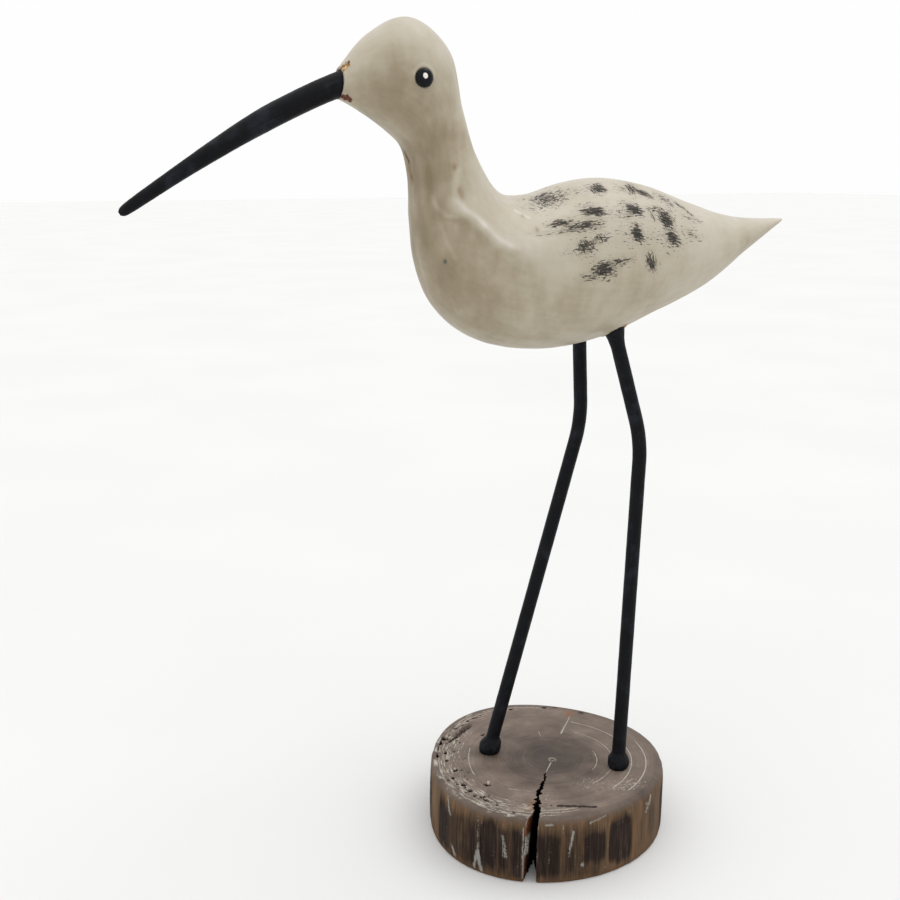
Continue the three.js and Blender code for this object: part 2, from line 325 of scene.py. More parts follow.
# Paint rubbed paler on the ridges, partly real wear and partly painted highlight along the crests with one
# painted glint, as spread, strength and places in x and z down both flanks
rubbedAndHighlightLines = [
    (1.7, 0.6, [(-71.4, 363.6), (-68.8, 360.8), (-63, 356.7), (-60, 353.7)]),
    (1.7, 0.36, [(-60, 353.7), (-53, 346), (-49, 343.5)]),
    (1.8, 0.22, [(-71, 361), (-64.8, 355.6), (-59.5, 350), (-54, 345)]),
    (4.6, 0.3, [(-52, 347.5), (-40, 341)]),
    (7.0, 0.12, [(-38, 345), (-25, 339), (-12, 336)]),
    (1.4, 0.36, [(-71, 379), (-72.9, 366)]),
    (2.9, 0.08, [(-76.8, 367), (-76.2, 362)]),
    (0.6, 0.24, [(-80.4, 367.4), (-80, 364.2), (-78.7, 361.7), (-75.9, 358.2), (-71.4, 357.5)]),
    (0.7, 0.16, [(-77.5, 354.1), (-75.8, 346.5), (-72.2, 337.8)]),
    # a small painted glint on the back
    (0.45, 0.6, [(-38.7, 360.4), (-33.3, 357)]),
    (15, 0.2, [(60, 322), (95, 330)]),
]

# Dry-brushed dabs, as x and distance down the flank from the spine, then half length,
# half breadth and tilt of each stroke, how much paint it holds and how cross-hatched it is
dabStrokes = [
    (-15.3, 16.1, 11.1, 7.1, 16, 0.62, 1.0),
    (-29.5, 22.9, 4.8, 2.4, -25, 0.34, 0.2),
    (-16.3, 10.2, 7.1, 1.7, 29, 0.75, 0.4),
    (-6.0, 17.5, 2.6, 3.3, -25, 0.4, 0.8),
    (13.3, 19.7, 4.2, 4.3, -20, 0.85, 0.8),
    (2.3, 19.4, 7.2, 4.1, -10, 0.33, 0.6),
    (28.0, 20.4, 3.6, 3.5, -20, 0.42, 0.3),
    (35.4, 19.4, 3.4, 5.6, -33, 0.66, 1.0),
    (41.7, 21.6, 4.9, 2.0, -14, 0.92, 0.3),
    (56.5, 21.8, 6.3, 4.4, 2, 0.5, 0.2),
    (67.9, 22.6, 6.1, 1.3, -32, 0.62, 0.0),
    (70.8, 29.7, 8.0, 1.4, 12, 0.42, 0.3),
    (3.3, 37.9, 6.4, 2.4, -6, 1.0, 0.0),
    (1.6, 39.0, 9.0, 4.9, -8, 0.26, 0.1),
    (0.6, 31.7, 5.1, 1.2, 0, 0.38, 0.0),
    (28.8, 36.7, 5.2, 2.9, 1, 0.97, 0.0),
    (19.9, 38.3, 6.6, 4.7, 3, 0.33, 0.2),
    (21.7, 41.7, 7.3, 0.9, 10, 0.48, 0.0),
    (24.0, 32.5, 5.8, 0.9, 13, 0.38, 0.0),
    (49.1, 38.1, 4.3, 4.5, -7, 0.92, 0.5),
    (43.6, 33.1, 5.5, 1.2, 10, 0.62, 0.0),
    (39.7, 37.7, 3.4, 0.9, -70, 0.6, 0.0),
    (54.6, 34.4, 2.8, 5.6, -9, 0.46, 0.8),
    (-17.9, 41.5, 6.2, 2.1, -15, 0.8, 0.2),
    (-6.0, 46.8, 9.8, 2.4, 0, 0.82, 0.3),
    (-16.2, 48.8, 12.0, 0.8, -11, 0.55, 0.0),
    (1.8, 46.9, 4.8, 1.1, -3, 0.42, 0.2),
    (26.2, 51.4, 3.4, 3.5, 7, 0.98, 0.5),
    (24.6, 51.9, 10.4, 6.2, 9, 0.32, 0.5),
    (51.8, 47.5, 4.4, 3.0, 11, 0.96, 0.3),
    (47.7, 49.6, 10.1, 4.7, 14, 0.34, 0.4),
    (65.9, 39.4, 6.5, 3.1, 12, 0.3, 0.2),
    (67.6, 40.0, 3.9, 0.9, 11, 0.55, 0.0),
    (-6.6, 60.3, 6.0, 3.5, 12, 0.74, 0.7),
    (2.3, 55.6, 5.6, 2.4, 12, 0.58, 0.8),
    (-16.5, 62.9, 6.0, 1.3, 0, 0.28, 0.0),
    (3.7, 73.1, 5.5, 3.1, 14, 0.96, 0.2),
    (12.5, 68.2, 7.4, 1.6, 18, 0.66, 0.3),
    (-4.8, 78.1, 5.6, 1.6, 6, 0.55, 0.2),
    (34.6, 64.3, 4.1, 3.0, -64, 0.8, 0.5),
]

# What the dry brush does: how far past its stroke paint reaches, and how it thins out
brushHabit = {
    "lengthShare": 1.4,
    "breadthShare": 1.5,
    "edge": 0.5,
    "fill": 1.12,
    "fade": 1.05,
    "cut": 0.02,
    "wobble": (0.9, 7),  # how far a stroke sways and over what length
    # the far wing is a second go with the same brush: dabs moved a little, other bristle marks
    "farSway": 1.6,
    "farSlip": 1.2,
    "farMarks": 37.0,
    "marksStep": 11.0,
}


def bodyGrid():
    # rows of points from the snout to the tail; angle 0 is the right flank, 90 degrees the back
    stations = np.array(body["stations"], float)
    count = body["rings"]
    back = curveThrough(stations[:, 0:2], count)
    belly = curveThrough(stations[:, 2:4], count)
    spread = body["stationSpacing"] * np.arange(len(stations))
    halfWidth = curveThrough(np.c_[spread, stations[:, 4]], count)[:, 1]
    angle = 2 * np.pi * np.arange(body["sides"]) / body["sides"]
    middle = (back + belly) / 2
    halfDepth = (back - belly) / 2
    x = middle[:, :1] + halfDepth[:, :1] * np.sin(angle)
    z = middle[:, 1:] + halfDepth[:, 1:] * np.sin(angle)
    width = halfWidth[:, None] + 0 * x
    for height, spreadWidth, line in body["carving"]:
        width += height * bell(awayFromLine(x, z, line), spreadWidth)
    grid = np.stack([x, width * np.cos(angle), z], axis=2)
    # how far along the bird each ring lies, and how far above its middle each point lies
    step = np.linalg.norm(np.diff(middle, axis=0), axis=1)
    along = np.concatenate([[0], np.cumsum(step)])
    lift = np.linalg.norm(halfDepth, axis=1)[:, None] * np.sin(angle)
    grain = np.stack([along[:, None] + 0 * lift, grid[:, :, 1], lift], axis=2)
    return grid, grain


def fromSpine(grid):
    # distance over the surface from the spine down each flank, ring by ring
    sides = grid.shape[1]
    step = np.linalg.norm(np.roll(grid, -1, axis=1) - grid, axis=2)
    walked = np.concatenate([np.zeros((len(grid), 1)), np.cumsum(step, axis=1)], axis=1)
    whole = walked[:, -1:]
    past = np.abs(walked[:, :-1] - walked[:, sides // 4:sides // 4 + 1])
    return np.minimum(past, whole - past)


def legDistance(points, leg):
    # distance of each point from the line of the leg's upper rod
    hip, knee = np.array(leg["hip"], float), np.array(leg["knee"], float)
    way = (hip - knee) / np.linalg.norm(hip - knee)
    offset = points - hip
    along = offset @ way
    return np.linalg.norm(offset - along[..., None] * way, axis=-1), along


def paintDabs(grid):
    # ink, the brush's own coordinates and hatching at each point, the same on both wings
    x = grid[:, :, 0]
    down = fromSpine(grid)
    sway, swayLength = brushHabit["wobble"]
    flat = np.stack([x, down, 0 * x], axis=2).reshape(-1, 3)
    wobble = sway * lumps(flat, swayLength, 2).reshape(x.shape)
    ink = np.zeros(x.shape)
    hatch = np.zeros(x.shape)
    brush = np.zeros(grid.shape)
    far = grid[:, :, 1] > 0
    for number, (cx, cy, long, broad, tilt, load, crossed) in enumerate(dabStrokes):
        turn = math.radians(tilt)
        dx = x - cx - np.where(far, brushHabit["farSway"] * math.sin(5.3 * number), 0.0)
        dy = -(down - cy) + np.where(far, brushHabit["farSlip"] * math.cos(3.1 * number), 0.0)
        u = dx * math.cos(turn) + dy * math.sin(turn)
        v = dy * math.cos(turn) - dx * math.sin(turn) + wobble * min(broad / 3, 1)
        lengthways = np.abs(u) / (brushHabit["lengthShare"] * long)
        sideways = np.abs(v) / (brushHabit["breadthShare"] * broad + brushHabit["edge"])
        thinned = np.exp(-brushHabit["fade"] * (lengthways ** 2.2 + sideways ** 2))
        here = brushHabit["fill"] * load * thinned - brushHabit["cut"]
        taken = here > ink
        ink = np.where(taken, here, ink)
        hatch = np.where(taken, crossed, hatch)
        marks = brushHabit["marksStep"] * number + np.where(far, brushHabit["farMarks"], 0.0)
        for axis, value in enumerate((u, v, marks)):
            brush[:, :, axis] = np.where(taken, value, brush[:, :, axis])
    return ink, hatch, brush


def bodyRelief(grid, normal):
    # moves the surface for hand work, chips, the eye seats and the filled joints at the legs
    flat = grid.reshape(-1, 3)
    height = np.full(len(flat), -body["skinInset"])
    for depth, size, shift in body["handWork"]:
        height += depth * lumps(flat, size, 2, shift)
    ex, ey, ez = body["eye"]
    fromEye = np.hypot(flat[:, 0] - ex, flat[:, 2] - ez)
    besideHead = np.abs(flat[:, 1]) > ey / 2
    rise, place, spread = body["eyeLip"]
    depth, low, high = body["eyeSeat"]
    lip = rise * bell(fromEye - place, spread) - depth * (1 - smooth(low, high, fromEye))
    height += np.where(besideHead, lip, 0)
    chip = np.zeros(len(flat))
    chipDark = np.zeros(len(flat))
    ragged = lumps(flat, 1.6, 3, 7.7)
    for leg in legs.values():
        away, along = legDistance(flat, leg)
        rise, place, spread = body["collar"]
        depth, low, high = body["legSeat"]
        below, above = body["legReach"]
        rim = rise * bell(away - place, spread) - depth * (1 - smooth(low, high, away))
        height += np.where((along > below) & (along < above), rim, 0)
        # raw wood shows in a crescent behind the collar
        place, spread, dark = body["bareCrescent"]
        behind = smooth(-2, 3, flat[:, 0] - leg["hip"][0] + 0.8 * ragged)
        crescent = bell(away - place, spread) * behind * (np.abs(along) < 15)
        chip = np.maximum(chip, smooth(0.25, 0.6, crescent + 0.2 * ragged))
        chipDark = np.where(crescent > 0.05, dark, chipDark)
    for (cx, cy, cz), long, broad, depth, dark, edge in chips:
        fromLine = np.hypot(flat[:, 1] - cy, flat[:, 2] - cz) / broad
        reach = np.hypot((flat[:, 0] - cx) / long, fromLine)
        here = smooth(-0.08, 0.12, 1 - reach + 0.45 * ragged)
        height -= depth * here * smooth(0.0, 0.5, 1.15 - reach)
        chip = np.maximum(chip, here)
        ends = np.clip((flat[:, 0] - cx) / long * (1 if dark < 0.5 else -1), -1, 1)
        tone = dark + edge * np.clip(reach * 0.75 + 0.35 * ends, 0, 1.2)
        chipDark = np.where(here > 0.02, tone, chipDark)
    moved = flat + normal.reshape(-1, 3) * height[:, None]
    return moved.reshape(grid.shape), chip, chipDark


def spotsAt(flat, spots, stretch):
    # sum of soft spots, each drawn out upwards by stretch
    total = np.zeros(len(flat))
    for (cx, cy, cz), spread, strength in spots:
        away = np.sqrt((flat[:, 0] - cx) ** 2 + (flat[:, 1] - cy) ** 2 + ((flat[:, 2] - cz) / stretch) ** 2)
        total += strength * bell(away, spread)
    return total


def closeBody(shaped):
    # rings that lead the snout's face into the bill's socket and round off the tail's point
    sides = body["sides"]
    angle = 2 * np.pi * np.arange(sides) / sides
    outer = shaped[0]
    root = np.array(body["billRoot"])
    inward = np.array(body["billInward"]) / np.linalg.norm(body["billInward"])
    faceUp = outer[sides // 4] - outer[3 * sides // 4]
    faceUp /= np.linalg.norm(faceUp)
    faceOut = np.array([-faceUp[2], 0, faceUp[0]])
    radius = body["billRadius"] + body["billGap"]
    stretch = 1 / abs(inward @ faceOut)
    socket = root + np.outer(np.cos(angle), (0, radius, 0))
    socket = socket + np.outer(radius * stretch * np.sin(angle), faceUp)
    face = [outer * (1 - w) + socket * w + faceOut * body["lipBulge"] * math.sin(math.pi * w)
            for w in body["faceRings"]]
    hole = [socket + inward * depth for depth in (0.4, 2, 4.5, body["socketDepth"])]
    tailMiddle = shaped[-1].mean(axis=0)
    cut = np.array([body["tailCut"], 0, 0])
    tail = [tailMiddle + (shaped[-1] - tailMiddle) * share - cut * (1 - out)
            for share, out in ((0.88, 0.45), (0.62, 0.8), (0.3, 0.95))]
    shaped[-1] = shaped[-1] - cut
    return [*hole[::-1], *face[::-1]], tail, tailMiddle, len(hole)


def makeBody(material):
    sides = body["sides"]
    grid, grain = bodyGrid()
    normal = outwardNormals(grid, True)
    ink, hatch, brush = paintDabs(grid)
    shaped, chip, chipDark = bodyRelief(grid, normal)
    flat = grid.reshape(-1, 3)
    rust = spotsAt(np.reshape(shaped, (-1, 3)), rustSpots, 1.4)
    mirrored = np.c_[flat[:, 0], -np.abs(flat[:, 1]), flat[:, 2]]
    # glaze in the hollows, with painted shade below the ridges and low on the flanks
    glazeAndShade = 1 - np.exp(-spotsAt(mirrored, glazeAndShadeSpots, 1.5))
    speck = spotsAt(flat, [dotStain], 1.2)
    # paler paint on the ridges, as rubbed wear and painted highlight
    rubbedAndHighlight = np.zeros(len(flat))
    for spread, strength, line in rubbedAndHighlightLines:
        rubbedAndHighlight += strength * bell(awayFromLine(flat[:, 0], flat[:, 2], line), spread)
    # a paler rim over each eye
    ex, ey, ez = body["eye"]
    fromEye = np.hypot(flat[:, 0] - ex, flat[:, 2] - ez)
    over = smooth(-1, 3, flat[:, 2] - ez) * (np.abs(flat[:, 1]) > ey / 2)
    rubbedAndHighlight += 0.4 * bell(fromEye - 5.1, 0.5) * over

    front, tail, tailMiddle, inHole = closeBody(shaped)
    points = np.vstack([*front, *shaped, *tail, front[0].mean(axis=0)[None], tailMiddle[None]])

    def carried(values):
        # the same values carried over the added rings
        values = np.asarray(values, float).reshape(len(flat), -1)
        first = np.tile(values[:sides], (len(front), 1))
        last = np.tile(values[-sides:], (len(tail), 1))
        whole = np.vstack([first, values, last, values[:1], values[-1:]])
        return whole[:, 0] if whole.shape[1] == 1 else whole

    # the bill's socket is painted dark, and the snout's face round it partly, as painted shade where the
    # bill goes in
    shadow = np.repeat([1.0] * inHole + [0.35] * (len(front) - inHole), sides)
    hole = np.concatenate([shadow, np.zeros(len(flat) + len(tail) * sides), [1, 0]])
    layers = {"ink": ink, "hatch": hatch, "brush": brush, "grain": grain, "rust": rust, "glazeAndShade": glazeAndShade,
              "rubbedAndHighlight": rubbedAndHighlight, "speck": speck, "chip": chip, "chipDark": chipDark}
    layers = {key: carried(values) for key, values in layers.items()}
    faces = tubeFaces(len(front) + len(shaped) + len(tail), sides)
    piece = makeMesh("painted_body", points, faces, material, {**layers, "hole": hole})
    placePiece(piece, "carved_body")
    print("body made:", len(points), "points")


# Satin paint: sizes in millimetres, then how much each layer darkens or lightens the glaze
satin = {
    "cloud": 20,
    "drag": (40, 3.2),
    "run": (7, 26),
    "bristle": (4.4, 0.75),
    "crossBristle": (4, 0.9),
    "clot": 1.5,
    "fibre": (2.5, 0.7),
    "fine": (14, 0.9),
    # the ridge layer lightens as rubbed wear and painted highlight; the hollow and downward layers darken
    # as glaze and painted shade
    "glaze": {"clouds": 0.37, "drags": 0.11, "runs": 0.18, "under": 0.19, "glazeAndShade": 0.4, "rubbedAndHighlight": -0.4},
    "gloss": (0.36, 0.46),
}


def satinPaint():
    # chalky off-white paint rubbed with brown glaze: soft mottling, faint drags of the brush, a low sheen
    material, tree = newMaterial("satinPaintedWood")
    place = addNode(tree, "VectorMath", {0: addNode(tree, "TexCoord", out="Object"),
                    3: 1 / mm}, operation="SCALE")
    grain = addNode(tree, "Attribute", out="Vector", attribute_name="grain")
    brush = addNode(tree, "Attribute", out="Vector", attribute_name="brush")
    ink, hatch, rust, glazeAndShade, rubbedAndHighlight, speck, chip, chipDark, hole = (
        addNode(tree, "Attribute", out="Fac", attribute_name=key)
        for key in ("ink", "hatch", "rust", "glazeAndShade", "rubbedAndHighlight", "speck", "chip", "chipDark", "hole"))

    long, wide = satin["drag"]
    runWide, runLong = satin["run"]
    # broad mottling of the glaze in clouds, drags of the brush along the body and runs down it
    clouds = addNode(tree, "TexNoise", {"Vector": place, "Scale": 1 / satin["cloud"], "Detail": 4,
                                        "Roughness": 0.62})
    dragPlace = addNode(tree, "VectorMath", {0: grain, 1: (1 / long, 1 / wide, 1 / wide)},
                        operation="MULTIPLY")
    drags = addNode(tree, "TexNoise", {"Vector": dragPlace, "Scale": 1, "Detail": 3, "Roughness": 0.6})
    runPlace = addNode(tree, "VectorMath", {0: place, 1: (1 / runWide, 1 / runWide, 1 / runLong)},
                       operation="MULTIPLY")
    runs = addNode(tree, "TexNoise", {"Vector": runPlace, "Scale": 1, "Detail": 3, "Roughness": 0.55})
    # more glaze on the cheeks, breast and belly than on the crown and back, partly glaze and partly painted
    # shade on the surfaces that face down
    facing = addNode(tree, "NewGeometry", out="Normal")
    up = addNode(tree, "SeparateXYZ", {0: facing}, out="Z")
    under = addNode(tree, "MapRange", {"Value": up, "From Min": 0.75, "From Max": -0.45},
                    interpolation_type="SMOOTHSTEP")
    layers = {"clouds": clouds, "drags": drags, "runs": runs, "under": under, "glazeAndShade": glazeAndShade,
              "rubbedAndHighlight": rubbedAndHighlight}
    glazeSum = 0.0
    for key, layer in layers.items():
        glazeSum = addNode(tree, "Math", {0: layer, 1: satin["glaze"][key], 2: glazeSum},
                           operation="MULTIPLY_ADD")
    paint = addNode(tree, "ValToRGB", {0: glazeSum}, stops=[
        (0.1, toLinear("#cdc7bb")), (0.29, toLinear("#bbb3a3")), (0.46, toLinear("#aea590")),
        (0.64, toLinear("#968971")), (0.8, toLinear("#7e7155")), (1.0, toLinear("#6c5d42"))])

    # warm rust where the wood has bled through, and one grey-green dot
    rustTone = addNode(tree, "ValToRGB", {0: rust}, stops=[
        (0.6, toLinear("#7a5a36")), (1.0, toLinear("#4a2a15"))])
    for spots, strength, colour in ((rust, 0.85, rustTone), (speck, 0.9, toLinear("#474d42"))):
        amount = addNode(tree, "Math", {0: spots, 1: strength}, operation="MULTIPLY", use_clamp=True)
        paint = addNode(tree, "Mix", {0: amount, 6: paint, 7: colour}, out=2, data_type="RGBA")

    # bristle marks of the dry brush, drawn coarser than its hairs so that they show, crossed where it went
    # both ways, with clots of paint
    long, wide = satin["bristle"]
    crossLong, crossWide = satin["crossBristle"]
    alongPlace = addNode(tree, "VectorMath", {0: brush, 1: (1 / long, 1 / wide, 1)}, operation="MULTIPLY")
    alongMarks = addNode(tree, "TexNoise", {"Vector": alongPlace, "Scale": 1, "Detail": 2,
                                            "Roughness": 0.55})
    crossPlace = addNode(tree, "VectorRotate", {"Vector": brush, "Angle": math.radians(72)},
                         rotation_type="Z_AXIS")
    crossPlace = addNode(tree, "VectorMath", {0: crossPlace, 1: (1 / crossLong, 1 / crossWide, 1)},
                         operation="MULTIPLY")
    crossMarks = addNode(tree, "TexNoise", {"Vector": crossPlace, "Scale": 1, "Detail": 2,
                                            "Roughness": 0.5})
    clots = addNode(tree, "TexNoise", {"Vector": brush, "Scale": 1 / satin["clot"], "Detail": 3,
                                       "Roughness": 0.6})
    bothWays = addNode(tree, "Math", {0: alongMarks, 1: crossMarks}, operation="MINIMUM")
    bothWays = addNode(tree, "Math", {0: bothWays, 1: 0.035}, operation="ADD")
    marks = addNode(tree, "Mix", {0: hatch, 2: alongMarks, 3: bothWays}, out=0, data_type="FLOAT")
    marks = addNode(tree, "Mix", {0: 0.22, 2: marks, 3: clots}, out=0, data_type="FLOAT")
    # noise runs from about 0.3 to 0.7, so it is spread before the ink is weighed against it
    marks = addNode(tree, "MapRange", {"Value": marks, "From Min": 0.36, "From Max": 0.64})
    bare = addNode(tree, "Math", {0: marks, 1: ink}, operation="SUBTRACT")
    laid = addNode(tree, "MapRange", {"Value": bare, "From Min": 0.04, "From Max": -0.12},
                   interpolation_type="SMOOTHSTEP")
    some = addNode(tree, "MapRange", {"Value": ink, "From Min": 0.01, "From Max": 0.08})
    laid = addNode(tree, "Math", {0: laid, 1: some}, operation="MULTIPLY")
    # thin paint between the bristle marks is brown-grey, the loaded middle nearly black
    inkTone = addNode(tree, "ValToRGB", {0: addNode(tree, "Math", {0: bare, 1: -1}, operation="MULTIPLY")},
                      stops=[(0.0, toLinear("#6c5f54")), (0.18, toLinear("#4a4540")),
                             (0.4, toLinear("#2a2a28")), (0.68, toLinear("#0f1210"))])
    wash = addNode(tree, "Math", {0: ink, 1: 0.3}, operation="MULTIPLY", use_clamp=True)
    paint = addNode(tree, "Mix", {0: wash, 6: paint, 7: toLinear("#6a6661")}, out=2, data_type="RGBA")
    laidSoft = addNode(tree, "Math", {0: laid, 1: 0.92}, operation="MULTIPLY")
    paint = addNode(tree, "Mix", {0: laidSoft, 6: paint, 7: inkTone}, out=2, data_type="RGBA")

    # raw and burnt wood in the chips
    long, wide = satin["fibre"]
    woodPlace = addNode(tree, "VectorMath", {0: place, 1: (1 / long, 1 / wide, 1 / wide)},
                        operation="MULTIPLY")
    woodGrain = addNode(tree, "TexNoise", {"Vector": woodPlace, "Scale": 1, "Detail": 3})
    woodTone = addNode(tree, "Math", {0: woodGrain, 1: chipDark}, operation="ADD")
    woodTone = addNode(tree, "Math", {0: woodTone, 1: 0.6}, operation="MULTIPLY")
    wood = addNode(tree, "ValToRGB", {0: woodTone}, stops=[
        (0.36, toLinear("#d2c2a6")), (0.52, toLinear("#a5814f")), (0.75, toLinear("#6b4133")),
        (0.95, toLinear("#30201b"))])
    paint = addNode(tree, "Mix", {0: chip, 6: paint, 7: wood}, out=2, data_type="RGBA")
    # painted shade in the bill's socket and on the snout's face round it
    paint = addNode(tree, "Mix", {0: hole, 6: paint, 7: toLinear("#3a2a20")}, out=2, data_type="RGBA")

    # satin gloss, duller where the dabs lie, where wood shows and at the rust
    gloss = addNode(tree, "MapRange", {"Value": drags, "From Min": 0.3, "From Max": 0.7,
                    "To Min": satin["gloss"][0], "To Max": satin["gloss"][1]})
    dull = addNode(tree, "Math", {0: laid, 1: chip}, operation="MAXIMUM")
    dull = addNode(tree, "Math", {0: dull, 1: rust}, operation="MAXIMUM", use_clamp=True)
    gloss = addNode(tree, "Math", {0: dull, 1: 0.22, 2: gloss}, operation="MULTIPLY_ADD")
    long, wide = satin["fine"]
    finePlace = addNode(tree, "VectorMath", {0: grain, 1: (1 / long, 1 / wide, 1 / wide)},
                        operation="MULTIPLY")
    fine = addNode(tree, "TexNoise", {"Vector": finePlace, "Scale": 1, "Detail": 3})
    relief = addNode(tree, "Math", {0: laid, 1: 0.5, 2: fine}, operation="MULTIPLY_ADD")
    bump = addNode(tree, "Bump", {"Strength": 0.16, "Distance": 0.08 * mm, "Height": relief})
    sheen = addNode(tree, "MapRange", {"Value": dull, "To Min": 0.5, "To Max": 0.1})
    surface = addNode(tree, "BsdfPrincipled", {
        "Base Color": paint, "Roughness": gloss, "IOR": 1.5, "Specular IOR Level": sheen, "Normal": bump})
    addNode(tree, "OutputMaterial", {"Surface": surface})
    return material


makeBody(satinPaint())


# Bill

bill = {
    # places of the middle line in x and z, with the radius at each, from the socket to the tip
    "line": [
        (-131.8, 415, 5.8), (-143.5, 409.8, 5.7), (-158.4, 402.6, 5.5), (-171.5, 395.5, 4.95),
        (-183.8, 388.3, 4.35), (-195.8, 381.1, 3.8), (-206.9, 374.2, 3.35), (-217.5, 367.5, 2.95),
        (-223.5, 363.6, 2.6), (-226.3, 361.8, 2), (-227.4, 361.1, 1),
    ],
    "rings": 170,
    "sides": 72,
    "intoHead": 6.5,
    "whittle": 0.13,  # depth of the long flats that the knife left
    "unevenness": 0.05,
    "scuffed": (15, 3, 9),  # where the paint is scuffed, in full and fading out
}


def ringGrid(centres, radii, sides):
    # rings square to a line that lies near the XZ plane, and how far along each one is
    centres = np.asarray(centres, float)
    way = np.gradient(centres, axis=0)
    way /= np.linalg.norm(way, axis=1, keepdims=True)
    across = np.cross((0, 1, 0), way)
    across /= np.linalg.norm(across, axis=1, keepdims=True)
    other = np.cross(way, across)
    angle = 2 * np.pi * np.arange(sides) / sides
    radii = np.asarray(radii, float)[:, None, None] * np.ones((1, sides, 1))
    grid = (centres[:, None] + radii * (across[:, None] * np.cos(angle)[None, :, None]
            + other[:, None] * np.sin(angle)[None, :, None]))
    step = np.linalg.norm(np.diff(centres, axis=0), axis=1)
    return grid, np.concatenate([[0], np.cumsum(step)]), angle


def makeBill(material):
    root = np.array(body["billRoot"])
    inward = np.array(body["billInward"]) / np.linalg.norm(body["billInward"])
    deep = root + inward * bill["intoHead"]
    knots = np.array([(deep[0], deep[2], body["billRadius"]), (root[0], root[2], body["billRadius"]),
                      *bill["line"]])
    curve = curveThrough(knots, bill["rings"])
    centres = np.c_[curve[:, 0], 0 * curve[:, 0], curve[:, 1]]
    grid, along, angle = ringGrid(centres, curve[:, 2], bill["sides"])
    normal = outwardNormals(grid, True)
    # long shallow flats, and small unevenness
    marks = np.stack(np.broadcast_arrays(along[:, None] / 26, 1.1 * np.cos(angle), 1.1 * np.sin(angle)),
                     axis=2)
    height = bill["whittle"] * (lumps(marks.reshape(-1, 3), 1, 2, 3.3) - 0.6)
    height += bill["unevenness"] * (lumps(grid.reshape(-1, 3), 3, 2, 9.1) - 0.5)
    points = grid.reshape(-1, 3) + normal.reshape(-1, 3) * height[:, None]
    brush = np.stack(np.broadcast_arrays(along[:, None], 5 * np.cos(angle), 5 * np.sin(angle)), axis=2)
    middle, full, fade = bill["scuffed"]
    scuffs = smooth(fade, full, np.abs(along - middle))[:, None] * smooth(-0.2, 0.7, np.sin(angle))[None]
    ends = [grid[0].mean(axis=0), grid[-1].mean(axis=0)]
    attributes = {
        "grain": np.vstack([brush.reshape(-1, 3), brush[0, 0], brush[-1, 0]]),
        "scuffs": np.concatenate([scuffs.ravel(), [0, 0]]),
    }
    piece = makeMesh("whittled_bill", np.vstack([points, ends]), tubeFaces(len(grid), bill["sides"]),
                     material, attributes)
    placePiece(piece, "bill")
    print("bill made")


def blackPaint(name, drag, rough, fleck):
    # brushed blue-black paint, nearly matt: faint long brush marks and worn greyish scuffs
    material, tree = newMaterial(name)
    grain = addNode(tree, "Attribute", out="Vector", attribute_name="grain")
    scuffs = addNode(tree, "Attribute", out="Fac", attribute_name="scuffs")
    markPlace = addNode(tree, "VectorMath", {0: grain, 1: (1 / drag, 1 / 0.8, 1 / 0.8)},
                        operation="MULTIPLY")
    marks = addNode(tree, "TexNoise", {"Vector": markPlace, "Scale": 1, "Detail": 4, "Roughness": 0.65})
    clouds = addNode(tree, "TexNoise", {"Vector": grain, "Scale": 1 / 9, "Detail": 3})
    tone = addNode(tree, "Math", {0: marks, 1: 0.5, 2: clouds}, operation="MULTIPLY_ADD")
    colour = addNode(tree, "ValToRGB", {0: tone}, stops=[
        (0.5, toLinear("#040507")), (0.8, toLinear("#0a0b0f")), (1.0, toLinear("#1d2028"))])
    flecks = addNode(tree, "TexNoise", {"Vector": grain, "Scale": 1 / 1.3, "Detail": 4, "Roughness": 0.7})
    worn = addNode(tree, "MapRange", {"Value": flecks, "From Min": 0.5, "From Max": 0.66})
    worn = addNode(tree, "Math", {0: worn, 1: scuffs}, operation="MULTIPLY")
    worn = addNode(tree, "Math", {0: worn, 1: fleck}, operation="MULTIPLY")
    colour = addNode(tree, "Mix", {0: worn, 6: colour, 7: toLinear("#5d6672")}, out=2, data_type="RGBA")
    gloss = addNode(tree, "MapRange", {"Value": marks, "From Min": 0.3, "From Max": 0.7,
                    "To Min": rough - 0.07, "To Max": rough + 0.07})
    relief = addNode(tree, "Math", {0: flecks, 1: 0.5, 2: marks}, operation="MULTIPLY_ADD")
    bump = addNode(tree, "Bump", {"Strength": 0.35, "Distance": 0.12 * mm, "Height": relief})
    surface = addNode(tree, "BsdfPrincipled", {
        "Base Color": colour, "Roughness": gloss, "IOR": 1.5, "Specular IOR Level": 0.12, "Normal": bump})
    addNode(tree, "OutputMaterial", {"Surface": surface})
    return material


makeBill(blackPaint("brushedBlackPaint", 22, 0.5, 0.5))


# Eyes

eye = {
    "seat": 1.2,  # how deep the bead goes into the head
    "dome": 2.5,
    "rows": 44,
    "sides": 96,
    "dotRadius": 1.2,
    "dotUp": 0.75,
    "dotForward": -0.75,
    "dotHeight": 0.08,
    "dotEdge": 0.16,
    "roll": 1.55,  # how far round the dome the rows go, in radians
}


